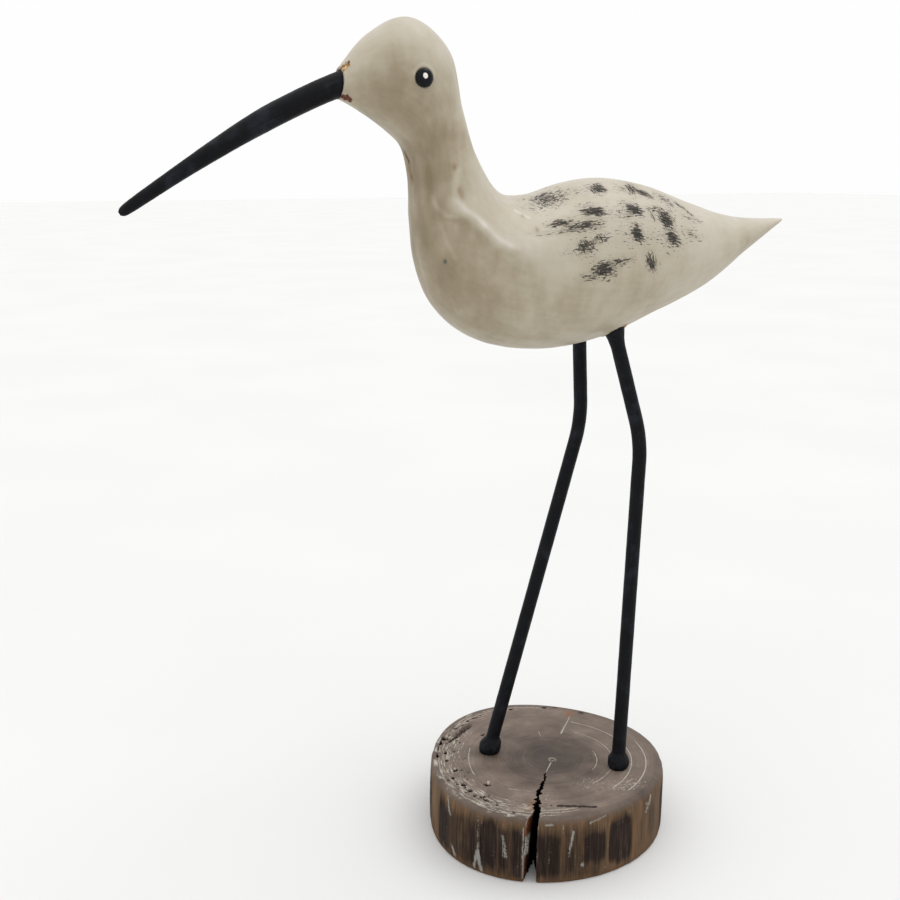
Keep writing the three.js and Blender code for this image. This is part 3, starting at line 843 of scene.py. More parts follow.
def makeEye(name, node, side, material):
    ex, ey, ez = body["eye"]
    radius = body["eyeRadius"]
    turn = 2 * np.pi * np.arange(eye["sides"]) / eye["sides"]
    roll = np.linspace(0, eye["roll"], eye["rows"])
    rise = np.concatenate([[-eye["seat"], -eye["seat"] / 2], eye["dome"] * np.sin(roll)])
    reach = np.concatenate([[radius, radius], radius * np.cos(roll)])
    x = reach[:, None] * np.cos(turn)
    z = reach[:, None] * np.sin(turn)
    fromDot = np.hypot(x - eye["dotForward"], z - eye["dotUp"])
    aroundDot = np.arctan2(z - eye["dotUp"], x - eye["dotForward"])
    edge = 0.07 * np.sin(2 * aroundDot + 1.0) + 0.04 * np.sin(5 * aroundDot)
    dot = 1 - smooth(eye["dotRadius"] - eye["dotEdge"], eye["dotRadius"] + eye["dotEdge"], fromDot + edge)
    dot *= rise[:, None] > eye["dome"] / 3
    y = side * (ey + rise[:, None] + eye["dotHeight"] * dot)
    points = np.stack([ex + x, y, ez + z], axis=2).reshape(-1, 3)
    ends = [(ex, side * (ey - eye["seat"]), ez), (ex, side * (ey + eye["dome"]), ez)]
    attributes = {"dot": np.concatenate([dot.ravel(), [0, dot[-1].mean()]])}
    piece = makeMesh(name, np.vstack([points, ends]), tubeFaces(len(rise), eye["sides"]), material,
                     attributes)
    placePiece(piece, node)


def glossBead():
    # dipped glossy black bead with a dot of white paint: one sharp glint and an uneven dot
    material, tree = newMaterial("glossBlackBead")
    place = addNode(tree, "VectorMath", {0: addNode(tree, "TexCoord", out="Object"),
                    3: 1 / mm}, operation="SCALE")
    dot = addNode(tree, "Attribute", out="Fac", attribute_name="dot")
    smudges = addNode(tree, "TexNoise", {"Vector": place, "Scale": 1 / 1.1, "Detail": 4})
    black = addNode(tree, "ValToRGB", {0: smudges}, stops=[
        (0.35, toLinear("#07080c")), (0.7, toLinear("#10121a"))])
    white = addNode(tree, "ValToRGB", {0: smudges}, stops=[
        (0.35, toLinear("#ded8cf")), (0.65, toLinear("#f2efe9"))])
    colour = addNode(tree, "Mix", {0: dot, 6: black, 7: white}, out=2, data_type="RGBA")
    gloss = addNode(tree, "MapRange", {"Value": dot, "To Min": 0.2, "To Max": 0.5})
    bump = addNode(tree, "Bump", {"Strength": 0.1, "Distance": 0.05 * mm, "Height": smudges})
    surface = addNode(tree, "BsdfPrincipled", {
        "Base Color": colour, "Roughness": gloss, "IOR": 1.5, "Specular IOR Level": 0.14, "Normal": bump})
    addNode(tree, "OutputMaterial", {"Surface": surface})
    return material


bead = glossBead()
makeEye("bead_left", "left_eye", -1, bead)
makeEye("bead_right", "right_eye", 1, bead)
print("eyes made")


# Legs

rod = {
    "radius": 4,
    "sides": 56,
    "kneeReach": 13,  # half length of the rounded knee
    "intoBody": 9,
    "intoLog": 9,
    "stepLength": 0.9,
    "logTop": 39,
    # height above the log and radius of the lump at the foot
    "foot": [
        (14, 4), (9, 4), (8.2, 4.5), (7, 5.4), (5.4, 6.15), (3.5, 6.5), (1.6, 6.3), (0.3, 5.8), (-0.6, 5.0),
        (-2, 4),
    ],
    # distance below the belly and radius of the filler
    "hip": [(-6, 4.2), (-3.5, 5.7), (-0.5, 5.8), (2, 5.25), (5, 4.5), (9, 4)],
}


def makeLeg(name, node, seed, material):
    hip, knee, foot = (np.array(legs[node][key], float) for key in ("hip", "knee", "foot"))
    up = (hip - knee) / np.linalg.norm(hip - knee)
    down = (foot - knee) / np.linalg.norm(foot - knee)
    top = hip + up * rod["intoBody"]
    bendStart = knee + up * rod["kneeReach"]
    bendEnd = knee + down * rod["kneeReach"]
    bottom = foot + down * rod["intoLog"] / abs(down[2])
    t = np.linspace(0, 1, 32)[1:-1, None]
    bend = bendStart * (1 - t) ** 2 + 2 * knee * t * (1 - t) + bendEnd * t ** 2
    upperCount = int(np.linalg.norm(top - bendStart) / rod["stepLength"])
    lowerCount = int(np.linalg.norm(bottom - bendEnd) / rod["stepLength"])
    centres = np.vstack([np.linspace(top, bendStart, upperCount), bend,
                         np.linspace(bendEnd, bottom, lowerCount)])
    grid, along, angle = ringGrid(centres, np.full(len(centres), 1.0), rod["sides"])
    spoke = grid - centres[:, None]
    # the lump at the foot lies level on the log, so its height is measured at each point
    rodPoints = centres[:, None] + spoke * rod["radius"]
    heights, widths = np.array(rod["foot"][::-1]).T
    lumpRadius = np.interp(rodPoints[:, :, 2] - rod["logTop"], heights, widths, left=rod["radius"])
    below = (hip - centres) @ up
    places, radii = np.array(rod["hip"]).T
    fillRadius = np.interp(below, places, radii, left=rod["radius"], right=rod["radius"])[:, None]
    radius = np.maximum(lumpRadius, fillRadius + 0 * lumpRadius)
    swelling = np.clip(radius - rod["radius"], 0, 2.5)
    uneven = lumps((centres[:, None] + spoke * 5).reshape(-1, 3), 5.5, 3, seed).reshape(radius.shape)
    brushed = 0.05 * lumps(rodPoints.reshape(-1, 3), 7, 2, seed).reshape(radius.shape)
    radius = radius + 0.3 * swelling * uneven - 0.06 + brushed
    grid = centres[:, None] + spoke * radius[:, :, None]
    grain = np.stack(np.broadcast_arrays(along[:, None], 4 * np.cos(angle), 4 * np.sin(angle) + 20 * seed),
                     axis=2)
    points = np.vstack([grid.reshape(-1, 3), centres[:1], centres[-1:]])
    attributes = {
        "grain": np.vstack([grain.reshape(-1, 3), grain[0, 0], grain[-1, 0]]),
        "scuffs": np.concatenate([np.clip(0.1 + 0.1 * swelling, 0, 1).ravel(), [0, 0]]),
    }
    piece = makeMesh(name, points, tubeFaces(len(grid), rod["sides"]), material, attributes)
    placePiece(piece, node)
    print(name, "made")


rodPaint = blackPaint("satinBlackRodPaint", 30, 0.52, 0.25)
makeLeg("rod_left", "left_leg", 1.7, rodPaint)
makeLeg("rod_right", "right_leg", 5.2, rodPaint)


# Slice of log

log = {
    "radius": 70.2,
    "height": 39,
    "outlineWaves": [(1, 0.25, 100), (2, 0.2, -45), (3, 1.8, -83), (4, 0.5, 28)],
    # height and how far the side is drawn in
    "profile": [(39, 4.4), (38.2, 2.1), (36.5, 0.9), (33, 0.4), (22, 0.1), (6, 0), (1.2, 0.5), (0, 1.6)],
    "pith": (2.6, -6.1),
    "columns": 480,
    "rowSpacing": 0.78,
    "sideRows": 44,
    "seamDegrees": -135.5,  # direction of the drying crack from the pith
    "seamReach": 0.1,  # share of a turn over which the crack's zigzag fades out
    "ringScale": 65.7,  # distance of the top's edge from the pith
    "roundScale": 70,  # millimetres for each radian round the rim
}

# Middle line of the drying crack as x, y and half width, in the top and in the underside
crackTop = [
    (-9.2, -16.9, 0.35), (-14.1, -23.7, 0.7), (-17.2, -26.3, 1), (-21.5, -29.9, 1.2), (-25, -34.2, 1.3),
    (-27.8, -37.5, 0.8), (-29.6, -40, 1.5), (-32.8, -44.6, 1.7), (-35.3, -49, 1.6), (-38.6, -52.2, 2),
    (-42.8, -55.4, 3.3), (-49, -61.4, 4.2),
]
crackUnder = [
    (-9.2, -16.9, 0.3), (-13.5, -22.5, 0.4), (-17, -25.8, 0.4), (-21, -29, 0.5), (-25, -32.8, 0.5),
    (-28.4, -36.3, 0.5), (-31.4, -39.8, 0.7), (-34.6, -44, 1.6), (-38, -48.5, 2.6), (-41.3, -52.4, 3.3),
    (-44.6, -56.4, 3.6), (-49.6, -61.8, 4.2),
]

# Worm holes: x, y, half length, half width, depth, turn in degrees and how black the inside is painted, as
# painted shade
wormHoles = [
    (-28, 50.5, 15, 2.4, 2.6, 29, 0.36), (-36, 45.8, 7.5, 1.3, 3.4, 33, 1), (-43, 48, 4, 2.4, 3.5, 120, 1),
    (-57.5, -5.4, 2.4, 1.7, 3, 80, 1), (-57.5, -12.5, 2.0, 1.5, 3, 100, 1), (-54, -26, 2.4, 1.3, 3, 120, 1),
    (-46, -12.3, 2.6, 1.3, 2.5, 130, 1), (-41.3, 52.4, 2.4, 1.3, 2.5, 20, 1),
    (-47.3, 43.9, 3.6, 1.8, 2.5, 60, 1),
    (-52.5, 38.5, 3.4, 1.6, 2.5, 50, 1), (-56, 31, 2.6, 1.5, 2, 70, 1), (-54, 10.6, 1.8, 1.2, 2, 0, 1),
    (-57.5, -18.8, 1.4, 1.0, 2, 30, 1), (-19, 39.8, 2.0, 0.9, 1.6, 20, 1),
    (34.2, 52.6, 1.7, 0.8, 1.6, 140, 1),
    (40.6, 49.3, 1.3, 0.7, 1.4, 100, 1), (51.4, 35.4, 1.8, 1.0, 2.2, 120, 1),
    (-50, 31, 1.6, 0.9, 1.8, 60, 1),
    (-12, 61.5, 3.4, 0.8, 1.5, 170, 0.9), (3, 63, 2.6, 0.8, 1.4, 175, 0.9),
    (14, 61, 2.0, 0.8, 1.3, 165, 0.9),
    (-59.5, 3.5, 1.5, 0.9, 1.5, 90, 1), (-51.5, -33, 1.4, 0.9, 1.5, 140, 1),
    (-30, 55.5, 2.2, 0.8, 1.5, 15, 1),
]

# White filler left in a ring: ring value, from and to which angle about the pith, strength
limedRings = [
    (28, -57, -6, 0.75), (38, -80, 37, 0.75), (50, -73, 45, 0.95), (59, -69, -4, 1.0),
    (47.5, 134, 173, 0.75),
    (63.6, -172, -118, 0.8), (61, -160, -106, 0.7), (58.4, -133, -104, 0.75), (64.4, 145, 178, 0.7),
    (63, 58, 122, 0.75), (60.6, 75, 112, 0.6),
]
# White scratches: both ends and the half width
limedScratches = [
    ((0, -8.3), (-9.0, -16.6), 0.45), ((24.9, 18.6), (42.4, 34.7), 0.6), ((13.9, 27.4), (11.8, 21.2), 0.35),
    ((40, -32.2), (44.2, -36.3), 0.35), ((-43.5, -9.5), (-45, -12), 0.9),
    ((-37, -21.5), (-27, -31.5), 0.45),
    ((-21, 30), (-13, 27), 0.5),
]
# Dark stain on the side: angles from and to, heights from and to, strength
sidePatches = [
    (-181, -114, 1, 36, 0.6), (-114, -94, 1, 36, 0.5),
    (-181, -171.5, 3, 34, 0.9), (-170.5, -164.5, 5, 33, 0.55), (-163.5, -159.5, 7, 30, 0.7),
    (-158.5, -154, 3, 33, 0.8), (-152, -143, 4, 36, 0.95), (-142.2, -138, 5, 35, 0.85),
    (-136.5, -131.5, 2, 36, 1.0), (-126.5, -120, 3, 34, 0.85), (-121.5, -114.2, 4, 33, 0.9),
    (-112.5, -107, 5, 27, 0.7), (-103.5, -92, 9, 31, 0.95), (-89.5, -76, 6, 35, 1.0),
    (-72, -66, 6, 27, 0.35), (-62, -55, 8, 33, 0.4),
]
# Whitish smears on the side: angle and height of both ends, half width at each end, strength
sideSmears = [
    ((-172.7, 36), (-170.2, 27), 1.4, 1.1, 0.6), ((-169, 9), (-166.6, 3.5), 0.8, 1.2, 0.75),
    ((-152.9, 35), (-152.8, 13), 0.35, 0.6, 0.55), ((-153.0, 14), (-154.8, 2.6), 1.0, 0.8, 0.8),
    ((-152.6, 12), (-150.9, 2.0), 1.2, 0.9, 0.85), ((-140.6, 28), (-139.8, 16), 0.7, 1.3, 0.55),
    ((-131.6, 34), (-131.2, 3), 0.35, 0.4, 0.8), ((-121.5, 35.6), (-118.5, 35.8), 0.5, 0.6, 0.8),
    ((-113.4, 35), (-113.4, 31), 0.3, 0.3, 0.8), ((-108.6, 31), (-110.6, 17.5), 0.75, 0.35, 0.95),
    ((-105.1, 8.7), (-102.3, 11.4), 0.7, 0.25, 0.95), ((-100.6, 34.6), (-92, 36.6), 0.7, 0.5, 0.6),
    ((-65, 27), (-60.5, 34.5), 0.8, 1.2, 0.75), ((-66, 31.5), (-64, 32), 0.5, 0.4, 0.8),
    ((-119.5, 13), (-118.6, 18.5), 0.5, 0.4, 0.4), ((-94, 4.5), (-89, 5.5), 0.4, 0.5, 0.4),
    ((40, 30), (42, 12), 0.6, 1.0, 0.6), ((95, 22), (94, 8), 0.5, 0.9, 0.6),
    ((150, 33), (152, 20), 0.8, 0.6, 0.6),
]
# Orange-brown spots on the top, as x, y, spread and strength
warmSpots = [(44.2, 38.5, 2.0, 1.0), (-33, -41, 2.4, 0.5), (-36.5, -45.5, 2.6, 0.6), (41, 35, 1.4, 0.5)]
# Scorched line of short strokes: both ends and its half height
scorch = {"start": (-22.7, -49.1), "end": (-3.9, -61.1), "halfHeight": 2.1}


def scorchWay():
    # direction and length of the scorched line
    (sx, sy), (ex, ey) = scorch["start"], scorch["end"]
    length = math.hypot(ex - sx, ey - sy)
    return (ex - sx) / length, (ey - sy) / length, length


def outlineRadius(angle, inset):
    # rim of the slice about its middle
    radius = log["radius"] - inset
    for waves, height, phase in log["outlineWaves"]:
        radius = radius + height * np.cos(waves * angle - math.radians(phase))
    return radius


def rimDistance(angle, inset):
    # distance from the pith to the rim in a direction, found by halving
    px, py = log["pith"]
    low = np.full(np.shape(angle), 40.0)
    high = np.full(np.shape(angle), 100.0)
    for _ in range(34):
        half = (low + high) / 2
        x = px + half * np.cos(angle)
        y = py + half * np.sin(angle)
        inside = np.hypot(x, y) < outlineRadius(np.arctan2(y, x), inset)
        low = np.where(inside, half, low)
        high = np.where(inside, high, half)
    return low


def crackEdges(distance, height):
    # turn of the crack's middle from the seam and its half width, at a distance from the pith
    px, py = log["pith"]
    seam = math.radians(log["seamDegrees"])
    level = height / log["height"]
    centre = 0 * distance
    halfWidth = 0 * distance
    for line, share in ((np.array(crackTop), level), (np.array(crackUnder), 1 - level)):
        away = np.hypot(line[:, 0] - px, line[:, 1] - py)
        turn = np.arctan2(line[:, 1] - py, line[:, 0] - px)
        centre = centre + share * np.interp(distance, away, turn - seam)
        halfWidth = halfWidth + share * np.interp(distance, away, line[:, 2])
    start = math.hypot(crackTop[0][0] - px, crackTop[0][1] - py) - 1
    return centre, halfWidth * smooth(start, start + 3, distance), start


def logPlaces(share, column, height, inset):
    # point of the slice at a share of the way to the rim, a column round it, a height and an inset
    seam = math.radians(log["seamDegrees"])
    part = column / log["columns"]
    reach = share * rimDistance(seam + 2 * np.pi * part, inset)
    centre, halfWidth, start = crackEdges(reach, height)
    jag = np.stack(np.broadcast_arrays(reach / 2.4, height / 11, 0 * reach), axis=-1)
    shape = jag.shape[:-1]
    flatJag = jag.reshape(-1, 3)
    zigzag = lumps(flatJag, 1, 3, 2.0).reshape(shape)
    split = lumps(flatJag, 0.8, 2, 8.0).reshape(shape)
    reach = np.maximum(reach, 6)
    # the split is jagged in the top's face and straighter where it opens at the rim
    ragged = 1 - 0.75 * smooth(50, 61, reach)
    middleTurn = centre + 1.3 * zigzag * ragged * smooth(start, start + 6, reach) / reach
    half = np.maximum(halfWidth * (1.05 + 0.7 * split * ragged), 0) / reach
    nearStart = np.clip(1 - part / log["seamReach"], 0, 1) ** 2
    nearEnd = np.clip(1 - (1 - part) / log["seamReach"], 0, 1) ** 2
    angle = seam + 2 * np.pi * part + (middleTurn + half) * nearStart + (middleTurn - half) * nearEnd
    distance = share * rimDistance(angle, inset)
    px, py = log["pith"]
    x = px + distance * np.cos(angle)
    y = py + distance * np.sin(angle)
    return np.stack(np.broadcast_arrays(x, y, height + 0 * x), axis=-1), angle


def logTopRows():
    # rows a step apart, with extra ones beside the limed rings so that these stay crisp
    count = int(log["ringScale"] / log["rowSpacing"])
    rows = set(np.round(np.linspace(0, log["ringScale"], count), 2))
    for ring in (limed[0] for limed in limedRings):
        rows = {r for r in rows if abs(r - ring) > 0.6}
        rows |= {ring - 0.6, ring - 0.22, ring + 0.22, ring + 0.6}
    return np.array(sorted(rows)) / log["ringScale"]


def shapeLog():
    # numbers every point once, so that the top, the side and the crack's walls share their edges
    columns = log["columns"]
    shares = logTopRows()
    profile = curveThrough(log["profile"], log["sideRows"])
    profile[:, 1] = np.maximum(profile[:, 1], 0)
    topInset = log["profile"][0][1]
    number = np.arange(columns + 1)
    start = crackEdges(np.array([0.5]), log["height"])[2]
    firstOpen = int(np.argmax(shares * log["ringScale"] > start))
    points, turns, ringValues, zones = [], [], [], []
    count = 0

    def addPoints(places, turn, share, zone):
        nonlocal count
        points.append(places.reshape(-1, 3))
        turns.append(np.broadcast_to(turn, places.shape[:-1]).ravel())
        ringValues.append(np.broadcast_to(share * log["ringScale"], places.shape[:-1]).ravel())
        zones.append(np.full(places.reshape(-1, 3).shape[0], zone, float))
        first = count
        count += places.reshape(-1, 3).shape[0]
        return np.arange(first, count).reshape(places.shape[:-1])

    places, turn = logPlaces(shares[:, None], number[None, :], float(log["height"]), topInset)
    top = addPoints(places, turn, shares[:, None] + 0 * turn, 0)
    top[0, :] = top[0, 0]
    top[:firstOpen + 1, -1] = top[:firstOpen + 1, 0]
    height, inset = profile[1:, 0], profile[1:, 1]
    places, turn = logPlaces(np.ones((len(height), 1)), number[None, :], height[:, None], inset[:, None])
    side = np.vstack([top[-1:], addPoints(places, turn, np.ones(turn.shape), 1)])
    walls = []
    inner = None
    for column, zone in ((0, 2), (columns, 3)):
        wallShares = shares[firstOpen:-1]
        places, turn = logPlaces(wallShares[None, :], np.array([[float(column)]]), height[:, None],
                                 inset[:, None])
        wall = addPoints(places, turn, wallShares[None, :] + 0 * turn, zone)
        wall = np.vstack([top[firstOpen:-1, column][None], wall])
        wall = np.hstack([wall, side[:, column][:, None]])
        if inner is None:
            inner = wall[:, 0].copy()
        wall[:, 0] = inner
        walls.append(wall)
    joined = [np.concatenate(values) for values in (points, turns, ringValues, zones)]
    return top, side, walls, *joined


def gridFaces(index, flip):
    a, b, c, d = index[:-1, :-1], index[:-1, 1:], index[1:, 1:], index[1:, :-1]
    quads = np.stack([a, d, c, b] if flip else [a, b, c, d], axis=-1).reshape(-1, 4)
    faces = []
    for quad in quads.tolist():
        face = list(dict.fromkeys(quad))
        if len(face) > 2:
            faces.append(tuple(face))
    return faces


def segmentMask(x, y, a, b, halfA, halfB, soft):
    # 1 on a line from a to b that changes width, 0 away from it
    ax, ay = a
    bx, by = b
    length = (bx - ax) ** 2 + (by - ay) ** 2
    t = np.clip(((x - ax) * (bx - ax) + (y - ay) * (by - ay)) / length, 0, 1)
    away = np.hypot(x - ax - t * (bx - ax), y - ay - t * (by - ay))
    return 1 - smooth(-soft, soft, away - (halfA + (halfB - halfA) * t))


# Wear on the top, by degrees about the middle, ring values and heights
wear = {
    "leftFrom": (100, 128),
    "leftTo": (-112, -100),
    "leftRings": (45, 56),
    "ragged": (4, 9),  # how far the zone's inner edge wanders and over what length
    "edgeThins": (38.9, 37.6, 0.65),
    "edgeEnds": (37.5, 34),
    "backRings": (58, 63),
    "backFrom": (60, 80),
    "backTo": (112, 125),
    "backShare": 0.8,
    # pale flecks: x, y, spread, strength and how much narrower they lie in y
    "flecks": [(26, -50, 11, 1.0, 1.3), (4, -37, 9, 0.8, 1), (-23, -40, 7, 0.7, 1)],
    "wormDust": (0.55, 0.7, 64, 0.9),  # noise between which small pits show, outermost ring, depth
}
# Relief in millimetres: depth, then size of the lumps
logRelief = {
    "saw": (0.09, 14, 0.1),
    "rings": (0.07, 2.3),
    "lime": 0.28,
    "worn": 0.3,
    "pith": (0.9, 1.0),
    "flutes": [(0.34, 4.2, 3, 2.0), (0.3, 13, 2, 9.0)],
    "skinInset": 0.45,
}


def logMarks(x, y, z, turn, ring, zone, about):
    # white filler, the pale worn rim, flecks and warm spots on the top
    onTop = (zone == 0).astype(float)
    pithTurn = (np.degrees(turn) + 180) % 360 - 180
    lime = np.zeros(len(x))
    for value, low, high, strength in limedRings:
        inRange = smooth(low - 3, low + 3, pithTurn) * (1 - smooth(high - 3, high + 3, pithTurn))
        inRange = inRange * (1 - smooth(0.2, 0.62, np.abs(ring - value))) * onTop
        lime = np.maximum(lime, strength * inRange)
    for a, b, half in limedScratches:
        lime = np.maximum(lime, segmentMask(x, y, a, b, half, half * 0.6, 0.3) * onTop * 0.9)
    wander, size = wear["ragged"]
    ragged = wander * lumps(np.stack([x, y, z], axis=1), size, 3, 3.0)
    left = smooth(*wear["leftFrom"], np.abs(about)) * (1 - smooth(*wear["leftTo"], about) * (about < 0))
    left = left * smooth(*wear["leftRings"], ring + ragged) * (zone < 1.5)
    low, high, thins = wear["edgeThins"]
    left = left * (1 - thins * smooth(low, high, z)) * (1 - smooth(*wear["edgeEnds"], z))
    back = smooth(*wear["backRings"], ring) * smooth(*wear["backFrom"], about)
    back = back * (1 - smooth(*wear["backTo"], about)) * onTop
    worn = np.clip(left + wear["backShare"] * back, 0, 1)
    flecks = sum(strength * bell(np.hypot(x - cx, (y - cy) * narrow), spread)
                 for cx, cy, spread, strength, narrow in wear["flecks"])
    warm = sum(strength * bell(np.hypot(x - cx, y - cy), spread) for cx, cy, spread, strength in warmSpots)
    return lime, worn, flecks * onTop, warm * onTop


def wormPits(points, worn, ring, zone):
    # how deep the worm holes are and how black they are painted, as painted shade in the holes
    x, y = points[:, 0], points[:, 1]
    pitShade = np.zeros(len(points))
    sink = np.zeros(len(points))
    rough = lumps(points, 1.9, 2, 6.0)
    for cx, cy, long, wide, depth, turnDegrees, black in wormHoles:
        c, s = math.cos(math.radians(turnDegrees)), math.sin(math.radians(turnDegrees))
        u = ((x - cx) * c + (y - cy) * s) / long
        v = ((y - cy) * c - (x - cx) * s) / wide
        inside = 1 - np.hypot(u, v) + 0.28 * rough
        here = smooth(0.0, 0.45, inside) * (zone < 1)
        sink = np.maximum(sink, depth * here)
        pitShade = np.maximum(pitShade, here * black)
    low, high, outermost, depth = wear["wormDust"]
    small = smooth(low, high, lumps(points, 2.1, 2, 12.0)) * np.clip(worn * 1.1, 0, 1)
    small = small * (ring < outermost) * (zone == 0)
    return np.maximum(pitShade, small * 0.9), sink + depth * small


def sideStains(about, turn, z, zone, seamless):
    # dark stain in patches and whitish smears on the side
    onSide = zone == 1
    dark = np.zeros(len(z))
    edgeNoise = 1.3 * lumps(seamless, 5, 3, 4.0)
    endNoise = 3.2 * lumps(seamless, 3.2, 2, 7.0)
    for low, high, bottom, topHeight, strength in sidePatches:
        swing = (about + 360 - (low - 20)) % 360 + (low - 20) + edgeNoise
        across = smooth(low - 2, low + 2, swing) * (1 - smooth(high - 2, high + 2, swing))
        updown = smooth(bottom - 5, bottom + 5, z + endNoise)
        updown = updown * (1 - smooth(topHeight - 8, topHeight + 3, z + endNoise))
        dark = np.maximum(dark, strength * across * updown)
    # round the back the patches come from noise alone
    hidden = smooth(-52, -44, about) * (1 - smooth(168, 176, about))
    loose = np.stack([np.cos(turn) * 9, np.sin(turn) * 9, z / 60], axis=1)
    behind = smooth(-0.2, 0.2, lumps(loose, 1.0, 3, 1.0)) * smooth(-1, 7, z + endNoise)
    behind = behind * (1 - smooth(26, 38, z + endNoise))
    dark = np.maximum(dark, hidden * 0.9 * behind) * onSide
    smear = np.zeros(len(z))
    reach = math.radians(1) * log["roundScale"]
    for (angleA, zA), (angleB, zB), halfA, halfB, strength in sideSmears:
        swing = (about + 360 - (angleA - 180)) % 360 + (angleA - 180)
        mask = segmentMask(swing * reach, z, (angleA * reach, zA), (angleB * reach, zB), halfA, halfB, 0.45)
        smear = np.maximum(smear, strength * mask * onSide)
    return dark, smear


def makeLog(material):
    top, side, walls, points, turn, ring, zone = shapeLog()
    x, y, z = points.T
    onTop = (zone == 0).astype(float)
    about = np.degrees(np.arctan2(y, x))
    lime, worn, flecks, warm = logMarks(x, y, z, turn, ring, zone, about)
    pitShade, sink = wormPits(points, worn, ring, zone)

    # relief of the top and the side
    px, py = log["pith"]
    depth, size, low = logRelief["saw"]
    height = onTop * (depth * lumps(points, size, 3) - low)
    depth, spacing = logRelief["rings"]
    height += onTop * depth * np.sin(ring * 2 * np.pi / spacing + 1.5 * lumps(points, 12, 2))
    height -= onTop * logRelief["lime"] * lime
    alongRim = np.stack([ring / 2.2, 12 * np.cos(turn), 12 * np.sin(turn)], axis=1)
    height -= onTop * logRelief["worn"] * worn * (0.8 + 0.7 * lumps(alongRim, 1, 3, 5.0))
    depth, spread = logRelief["pith"]
    height -= onTop * depth * bell(np.hypot(x - px, y - py), spread)
    around = log["roundScale"]
    seamless = np.stack([np.cos(turn) * around, np.sin(turn) * around, z / 9], axis=1)
    flutes = sum(depth * lumps(seamless, size, octaves, shift)
                 for depth, size, octaves, shift in logRelief["flutes"])
    onSide = (zone == 1) * smooth(39.2, 36, z) * smooth(-0.2, 2.5, z)
    spoke = np.stack([x, y, 0 * x], axis=1)
    spoke /= np.maximum(np.linalg.norm(spoke, axis=1, keepdims=True), 1e-6)
    points = points + spoke * (onSide * (flutes - logRelief["skinInset"]))[:, None]
    points[:, 2] += height - sink

    # coordinates that run along the rim and up the side, and along the scorched line
    dark, smear = sideStains(about, turn, z, zone, seamless)
    bark = np.stack([(turn - math.radians(log["seamDegrees"])) * around, z, ring], axis=1)
    sx, sy = scorch["start"]
    ux, uy, length = scorchWay()
    strokes = np.stack([(x - sx) * ux + (y - sy) * uy, (y - sy) * ux - (x - sx) * uy, onTop], axis=1)
    layers = {
        "ring": ring, "lime": lime, "worn": worn, "flecks": flecks, "pitShade": pitShade, "dark": dark,
        "smear": smear, "bark": bark, "strokes": strokes, "warm": warm,
        "sideShare": np.where(zone == 1, smooth(38.9, 34.5, z), 0.0), "wall": (zone > 1).astype(float),
    }
    faces = gridFaces(top, False) + gridFaces(side, False)
    faces += gridFaces(walls[0], True) + gridFaces(walls[1], False)
    underside = [*walls[0][-1], *side[-1][1:-1], *walls[1][-1][:0:-1]]
    faces.append(tuple(int(i) for i in underside))
    used = sorted({i for face in faces for i in face})
    renumber = {old: new for new, old in enumerate(used)}
    faces = [tuple(renumber[i] for i in face) for face in faces]
    layers = {key: values[used] for key, values in layers.items()}
    piece = makeMesh("cracked_log_slice", points[used], faces, material, layers, 42)
    placePiece(piece, "log_base")
    print("log made:", len(used), "points")


# Sawn and limed wood: sizes in millimetres, and how much each layer lightens the end grain
sawn = {
    "fineRing": 0.9,
    "broadRing": 4.5,
    "blotch": 19,
    "speck": 1.1,
    "fibre": (1.1, 24),
    "band": (6.5, 60),
    "streak": (9, 3, 0.8),
    "stroke": (1.8, 3.4),
    "tone": {"fineRings": 0.22, "broadRings": 0.14, "blotches": 0.62, "heart": -0.3, "edge": -0.1},
    "fillerHeight": 21.5,  # height of the grey filler in the crack
}


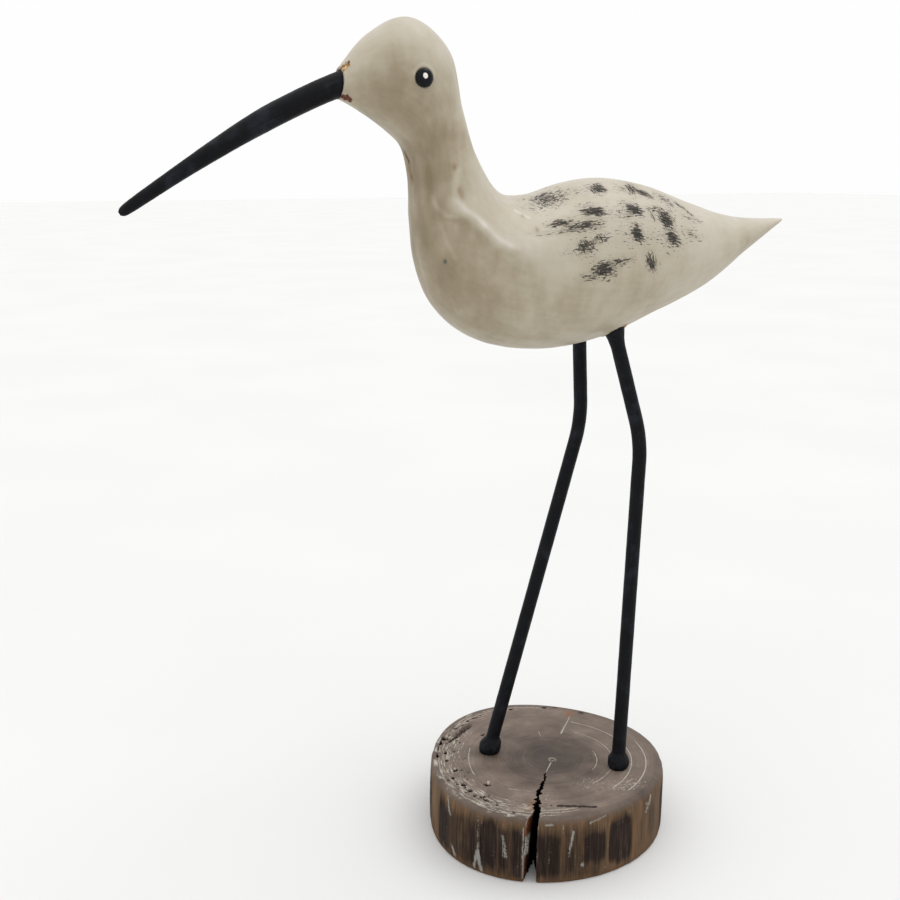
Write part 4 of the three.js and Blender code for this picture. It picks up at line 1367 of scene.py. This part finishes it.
def weatheredLog():
    # sawn end grain stained grey-brown and rubbed with white filler, over streaky sapwood: matt and dry
    material, tree = newMaterial("limedLogEndGrain")
    place = addNode(tree, "VectorMath", {0: addNode(tree, "TexCoord", out="Object"),
                    3: 1 / mm}, operation="SCALE")
    bark = addNode(tree, "Attribute", out="Vector", attribute_name="bark")
    strokes = addNode(tree, "Attribute", out="Vector", attribute_name="strokes")
    ring, lime, worn, flecks, pitShade, dark, smear, sideShare, wall, warm = (
        addNode(tree, "Attribute", out="Fac", attribute_name=key)
        for key in ("ring", "lime", "worn", "flecks", "pitShade", "dark", "smear", "sideShare", "wall", "warm"))

    # growth rings about 1.8 mm apart, from noise that changes only across the rings
    roundRim = addNode(tree, "SeparateXYZ", {0: bark}, out="X")
    upSide = addNode(tree, "SeparateXYZ", {0: bark}, out="Y")
    wander = addNode(tree, "TexNoise", {"Vector": place, "Scale": 1 / 16, "Detail": 2})
    ringOff = addNode(tree, "Math", {0: wander, 1: 3.0, 2: ring}, operation="MULTIPLY_ADD")
    ringPlace = addNode(tree, "CombineXYZ", {0: ringOff, 1: addNode(tree, "Math",
                        {0: roundRim, 1: 0.012}, operation="MULTIPLY")})
    fineRings = addNode(tree, "TexNoise", {"Vector": ringPlace, "Scale": 1 / sawn["fineRing"], "Detail": 2,
                        "Roughness": 0.6})
    broadRings = addNode(tree, "TexNoise", {"Vector": ringPlace, "Scale": 1 / sawn["broadRing"],
                                            "Detail": 2})
    blotches = addNode(tree, "TexNoise", {"Vector": place, "Scale": 1 / sawn["blotch"], "Detail": 5,
                       "Roughness": 0.6})
    specks = addNode(tree, "TexNoise", {"Vector": place, "Scale": 1 / sawn["speck"], "Detail": 3,
                     "Roughness": 0.7})
    heart = addNode(tree, "MapRange", {"Value": ringOff, "From Min": 48, "From Max": 7},
                    interpolation_type="SMOOTHSTEP")
    # the top is painted darker towards its rounded rim, as painted shade where it turns down from the light
    edge = addNode(tree, "MapRange", {"Value": ring, "From Min": 61, "From Max": 65.5})
    layers = {"fineRings": fineRings, "broadRings": broadRings, "blotches": blotches, "heart": heart,
              "edge": edge}
    tone = 0.0
    for key, layer in layers.items():
        tone = addNode(tree, "Math", {0: layer, 1: sawn["tone"][key], 2: tone}, operation="MULTIPLY_ADD")
    endGrain = addNode(tree, "ValToRGB", {0: tone}, stops=[
        (0.08, toLinear("#322823")), (0.26, toLinear("#4b3f37")), (0.49, toLinear("#6f6157")),
        (0.66, toLinear("#8a7b6f"))])
    # a small pale ring with a dot in it marks the pith
    pithRing = addNode(tree, "Math", {0: ring, 1: -1.9}, operation="ADD")
    pithRing = addNode(tree, "Math", {0: pithRing}, operation="ABSOLUTE")
    pithRing = addNode(tree, "MapRange", {"Value": pithRing, "From Min": 0.75, "From Max": 0.2,
                       "To Max": 0.45})
    pithDot = addNode(tree, "MapRange", {"Value": ring, "From Min": 0.8, "From Max": 0.35, "To Max": 0.6})
    pithMark = addNode(tree, "Math", {0: pithRing, 1: pithDot}, operation="MAXIMUM")
    endGrain = addNode(tree, "Mix", {0: pithMark, 6: endGrain, 7: toLinear("#aea395")}, out=2,
                       data_type="RGBA")
    warmTone = addNode(tree, "Math", {0: warm, 1: 0.8}, operation="MULTIPLY", use_clamp=True)
    endGrain = addNode(tree, "Mix", {0: warmTone, 6: endGrain, 7: toLinear("#7d5234")}, out=2,
                       data_type="RGBA")

    # side: brown sapwood with fine upright fibres and broader bands, dark stain in patches
    wide, long = sawn["fibre"]
    bandWide, bandLong = sawn["band"]
    fibrePlace = addNode(tree, "VectorMath", {0: bark, 1: (1 / wide, 1 / long, 0)}, operation="MULTIPLY")
    fibres = addNode(tree, "TexNoise", {"Vector": fibrePlace, "Scale": 1, "Detail": 4, "Roughness": 0.65})
    bandPlace = addNode(tree, "VectorMath", {0: bark, 1: (1 / bandWide, 1 / bandLong, 0)},
                        operation="MULTIPLY")
    bands = addNode(tree, "TexNoise", {"Vector": bandPlace, "Scale": 1, "Detail": 3, "Roughness": 0.6})
    sapTone = addNode(tree, "Math", {0: fibres, 1: 0.3}, operation="MULTIPLY")
    sapTone = addNode(tree, "Math", {0: bands, 1: 0.8, 2: sapTone}, operation="MULTIPLY_ADD")
    sapwood = addNode(tree, "ValToRGB", {0: sapTone}, stops=[
        (0.33, toLinear("#3e3127")), (0.5, toLinear("#5b4937")), (0.64, toLinear("#6a513b")),
        (0.78, toLinear("#7d694d"))])
    stainTone = addNode(tree, "Math", {0: blotches, 1: 0.5, 2: fibres}, operation="MULTIPLY_ADD")
    stain = addNode(tree, "ValToRGB", {0: stainTone}, stops=[
        (0.52, toLinear("#1d1612")), (0.72, toLinear("#271d18")), (0.88, toLinear("#342a25")),
        (1.0, toLinear("#43352c"))])
    darkEdge = addNode(tree, "Math", {0: fibres, 1: -0.5}, operation="ADD")
    darkAmount = addNode(tree, "Math", {0: darkEdge, 1: -0.55, 2: dark}, operation="MULTIPLY_ADD")
    darkAmount = addNode(tree, "MapRange", {"Value": darkAmount, "From Min": 0.08, "From Max": 0.85},
                         interpolation_type="SMOOTHSTEP")
    sideTone = addNode(tree, "Mix", {0: darkAmount, 6: sapwood, 7: stain}, out=2, data_type="RGBA")
    foot = addNode(tree, "MapRange", {"Value": upSide, "From Min": 3.5, "From Max": 0.5})
    foot = addNode(tree, "Math", {0: foot, 1: 0.5}, operation="MULTIPLY")
    sideTone = addNode(tree, "Mix", {0: foot, 6: sideTone, 7: toLinear("#5e4229")}, out=2, data_type="RGBA")
    smearNoise = addNode(tree, "Math", {0: specks, 1: 0.5}, operation="SUBTRACT")
    smearAmount = addNode(tree, "Math", {0: smearNoise, 1: 1.6, 2: smear}, operation="MULTIPLY_ADD")
    smearFibres = addNode(tree, "Math", {0: darkEdge, 1: 1.3, 2: smearAmount}, operation="MULTIPLY_ADD")
    smearAmount = addNode(tree, "MapRange", {"Value": smearFibres, "From Min": 0.28, "From Max": 0.72,
                          "To Max": 0.85})
    sideTone = addNode(tree, "Mix", {0: smearAmount, 6: sideTone, 7: toLinear("#93928b")}, out=2,
                       data_type="RGBA")
    wood = addNode(tree, "Mix", {0: sideShare, 6: endGrain, 7: sideTone}, out=2, data_type="RGBA")

    # crack walls: red-brown near the top, grey filler low down, a white outer corner, and painted shade
    # that goes black with depth
    depthIn = addNode(tree, "MapRange", {"Value": ring, "From Min": 66, "From Max": 46})
    wallToneAndShade = addNode(tree, "Math", {0: specks, 1: 1.1, 2: depthIn}, operation="MULTIPLY_ADD")
    wallColour = addNode(tree, "ValToRGB", {0: wallToneAndShade}, stops=[
        (0.5, toLinear("#7d472b")), (0.75, toLinear("#4c2b1b")), (0.9, toLinear("#1c100c")),
        (1.0, toLinear("#060403"))])
    fillerHeight = addNode(tree, "Math", {0: upSide, 1: -sawn["fillerHeight"]}, operation="ADD")
    fillerHeight = addNode(tree, "Math", {0: fillerHeight}, operation="ABSOLUTE")
    fillerHeight = addNode(tree, "MapRange", {"Value": fillerHeight, "From Min": 7, "From Max": 4.5})
    filler = addNode(tree, "MapRange", {"Value": depthIn, "From Min": 0.42, "From Max": 0.25})
    filler = addNode(tree, "Math", {0: filler, 1: fillerHeight}, operation="MULTIPLY")
    corner = addNode(tree, "MapRange", {"Value": ring, "From Min": 64.2, "From Max": 65.4, "To Max": 0.75})
    filler = addNode(tree, "Math", {0: filler, 1: corner}, operation="MAXIMUM")
    fillerTone = addNode(tree, "ValToRGB", {0: specks}, stops=[
        (0.4, toLinear("#2a2623")), (0.48, toLinear("#b0aca4"))])
    wallColour = addNode(tree, "Mix", {0: filler, 6: wallColour, 7: fillerTone}, out=2, data_type="RGBA")
    wood = addNode(tree, "Mix", {0: wall, 6: wood, 7: wallColour}, out=2, data_type="RGBA")

    # white filler: rings and scratches, the worn rim in streaks along it, and flecks
    limeNoise = addNode(tree, "Math", {0: specks, 1: 0.5}, operation="SUBTRACT")
    limeAmount = addNode(tree, "Math", {0: limeNoise, 1: 2.6, 2: lime}, operation="MULTIPLY_ADD")
    limeAmount = addNode(tree, "Math", {0: limeAmount, 1: lime}, operation="MULTIPLY")
    limeAmount = addNode(tree, "MapRange", {"Value": limeAmount, "From Min": 0.12, "From Max": 0.8,
                         "To Max": 0.8})
    streakPlace = addNode(tree, "VectorMath", {0: bark, 1: tuple(1 / size for size in sawn["streak"])},
                          operation="MULTIPLY")
    streaks = addNode(tree, "TexNoise", {"Vector": streakPlace, "Scale": 1, "Detail": 3, "Roughness": 0.65})
    wornAmount = addNode(tree, "Math", {0: worn, 1: 0.2}, operation="MULTIPLY")
    wornAmount = addNode(tree, "Math", {0: streaks, 1: wornAmount}, operation="ADD")
    wornAmount = addNode(tree, "MapRange", {"Value": wornAmount, "From Min": 0.7, "From Max": 0.82,
                         "To Max": 0.78})
    fleckAmount = addNode(tree, "Math", {0: flecks, 1: 0.2, 2: specks}, operation="MULTIPLY_ADD")
    fleckAmount = addNode(tree, "MapRange", {"Value": fleckAmount, "From Min": 0.73, "From Max": 0.82,
                          "To Max": 0.8})
    limeAmount = addNode(tree, "Math", {0: limeAmount, 1: wornAmount}, operation="MAXIMUM")
    limeAmount = addNode(tree, "Math", {0: limeAmount, 1: fleckAmount}, operation="MAXIMUM")
    wood = addNode(tree, "Mix", {0: limeAmount, 6: wood, 7: toLinear("#bdb7ab")}, out=2, data_type="RGBA")

    # scorched strokes in a row
    along = addNode(tree, "SeparateXYZ", {0: strokes}, out="X")
    across = addNode(tree, "SeparateXYZ", {0: strokes}, out="Y")
    length = scorchWay()[2]
    wide, high = sawn["stroke"]
    strokePlace = addNode(tree, "VectorMath", {0: strokes, 1: (1 / wide, 1 / high, 0)},
                          operation="MULTIPLY")
    strokeNoise = addNode(tree, "TexNoise", {"Vector": strokePlace, "Scale": 1, "Detail": 2})
    off = addNode(tree, "Math", {0: across}, operation="ABSOLUTE")
    inBand = addNode(tree, "MapRange", {"Value": off, "From Min": scorch["halfHeight"], "From Max": 0.2})
    before = addNode(tree, "MapRange", {"Value": along, "From Min": -0.4, "From Max": 0.4})
    behind = addNode(tree, "MapRange", {"Value": along, "From Min": length + 0.4, "From Max": length - 0.4})
    inBand = addNode(tree, "Math", {0: inBand, 1: before}, operation="MULTIPLY")
    inBand = addNode(tree, "Math", {0: inBand, 1: behind}, operation="MULTIPLY")
    scorched = addNode(tree, "Math", {0: strokeNoise, 1: inBand}, operation="MULTIPLY")
    scorched = addNode(tree, "MapRange", {"Value": scorched, "From Min": 0.24, "From Max": 0.34})
    wood = addNode(tree, "Mix", {0: scorched, 6: wood, 7: toLinear("#241813")}, out=2, data_type="RGBA")

    # worm holes are painted black inside, as painted shade
    pitEdge = addNode(tree, "Math", {0: smearNoise, 1: 1.2, 2: pitShade}, operation="MULTIPLY_ADD")
    pitAmount = addNode(tree, "MapRange", {"Value": pitEdge, "From Min": 0.2, "From Max": 0.42})
    wood = addNode(tree, "Mix", {0: pitAmount, 6: wood, 7: toLinear("#14100e")}, out=2, data_type="RGBA")

    gloss = addNode(tree, "MapRange", {"Value": tone, "From Min": 0.2, "From Max": 0.8,
                    "To Min": 0.62, "To Max": 0.8})
    topRelief = addNode(tree, "Math", {0: specks, 1: 0.7, 2: fineRings}, operation="MULTIPLY_ADD")
    relief = addNode(tree, "Mix", {0: sideShare, 2: topRelief, 3: fibres}, out=0, data_type="FLOAT")
    relief = addNode(tree, "Math", {0: scorched, 1: -1.5, 2: relief}, operation="MULTIPLY_ADD")
    bump = addNode(tree, "Bump", {"Strength": 0.6, "Distance": 0.3 * mm, "Height": relief})
    # the dark side and the crack are too dry to mirror the room
    dry = addNode(tree, "Math", {0: sideShare, 1: wall}, operation="MAXIMUM")
    dry = addNode(tree, "Math", {0: dry, 1: pitAmount}, operation="MAXIMUM")
    sheen = addNode(tree, "MapRange", {"Value": dry, "To Min": 0.35, "To Max": 0.08})
    surface = addNode(tree, "BsdfPrincipled", {
        "Base Color": wood, "Roughness": gloss, "IOR": 1.5, "Specular IOR Level": sheen, "Normal": bump})
    addNode(tree, "OutputMaterial", {"Surface": surface})
    return material


makeLog(weatheredLog())


# Floor and light

studio = {
    "floorHalf": 14,
    "floorTones": ("#dddddc", "#e0e0df"),
    # brightness of the room towards the horizon, half way up and overhead
    "room": [(0.0, 0.99), (0.35, 1.0), (1.0, 1.32)],
    # one broad soft light from above, a little behind and to the right
    "sunFrom": (0.42, -0.05, 0.9),
    "sunPower": 0.48,
    "sunDegrees": 38,
}


def setStudio():
    half = studio["floorHalf"]
    mesh = bpy.data.meshes.new("floor")
    mesh.from_pydata([(-half, -half, 0), (half, -half, 0), (half, half, 0), (-half, half, 0)], [],
                     [(0, 1, 2, 3)])
    material, tree = newMaterial("pale_floor")
    place = addNode(tree, "TexCoord", out="Object")
    cloud = addNode(tree, "TexNoise", {"Vector": place, "Scale": 3, "Detail": 2})
    tone = addNode(tree, "ValToRGB", {0: cloud}, stops=[
        (0.3, toLinear(studio["floorTones"][0])), (0.7, toLinear(studio["floorTones"][1]))])
    surface = addNode(tree, "BsdfPrincipled", {"Base Color": tone, "Roughness": 0.9,
                      "Specular IOR Level": 0.1})
    addNode(tree, "OutputMaterial", {"Surface": surface})
    mesh.materials.append(material)
    floor = bpy.data.objects.new("floor", mesh)
    bpy.context.scene.collection.objects.link(floor)

    world = bpy.data.worlds.new("room")
    bpy.context.scene.world = world
    world.use_nodes = True
    tree = world.node_tree
    height = addNode(tree, "SeparateXYZ", {0: addNode(tree, "TexCoord", out="Generated")}, out="Z")
    room = addNode(tree, "ValToRGB", {0: height}, stops=[
        (place, (tone / 2, tone / 2, tone / 2, 1)) for place, tone in studio["room"]])
    back = tree.nodes["Background"]
    tree.links.new(room, back.inputs["Color"])
    back.inputs["Strength"].default_value = 2
    data = bpy.data.lights.new("overhead", "SUN")
    data.energy = studio["sunPower"]
    data.angle = math.radians(studio["sunDegrees"])
    lamp = bpy.data.objects.new("overhead", data)
    lamp.rotation_euler = (-Vector(studio["sunFrom"])).to_track_quat("-Z", "Y").to_euler()
    bpy.context.scene.collection.objects.link(lamp)
    bpy.context.scene.view_settings.view_transform = "Standard"


setStudio()
print("studio lit")
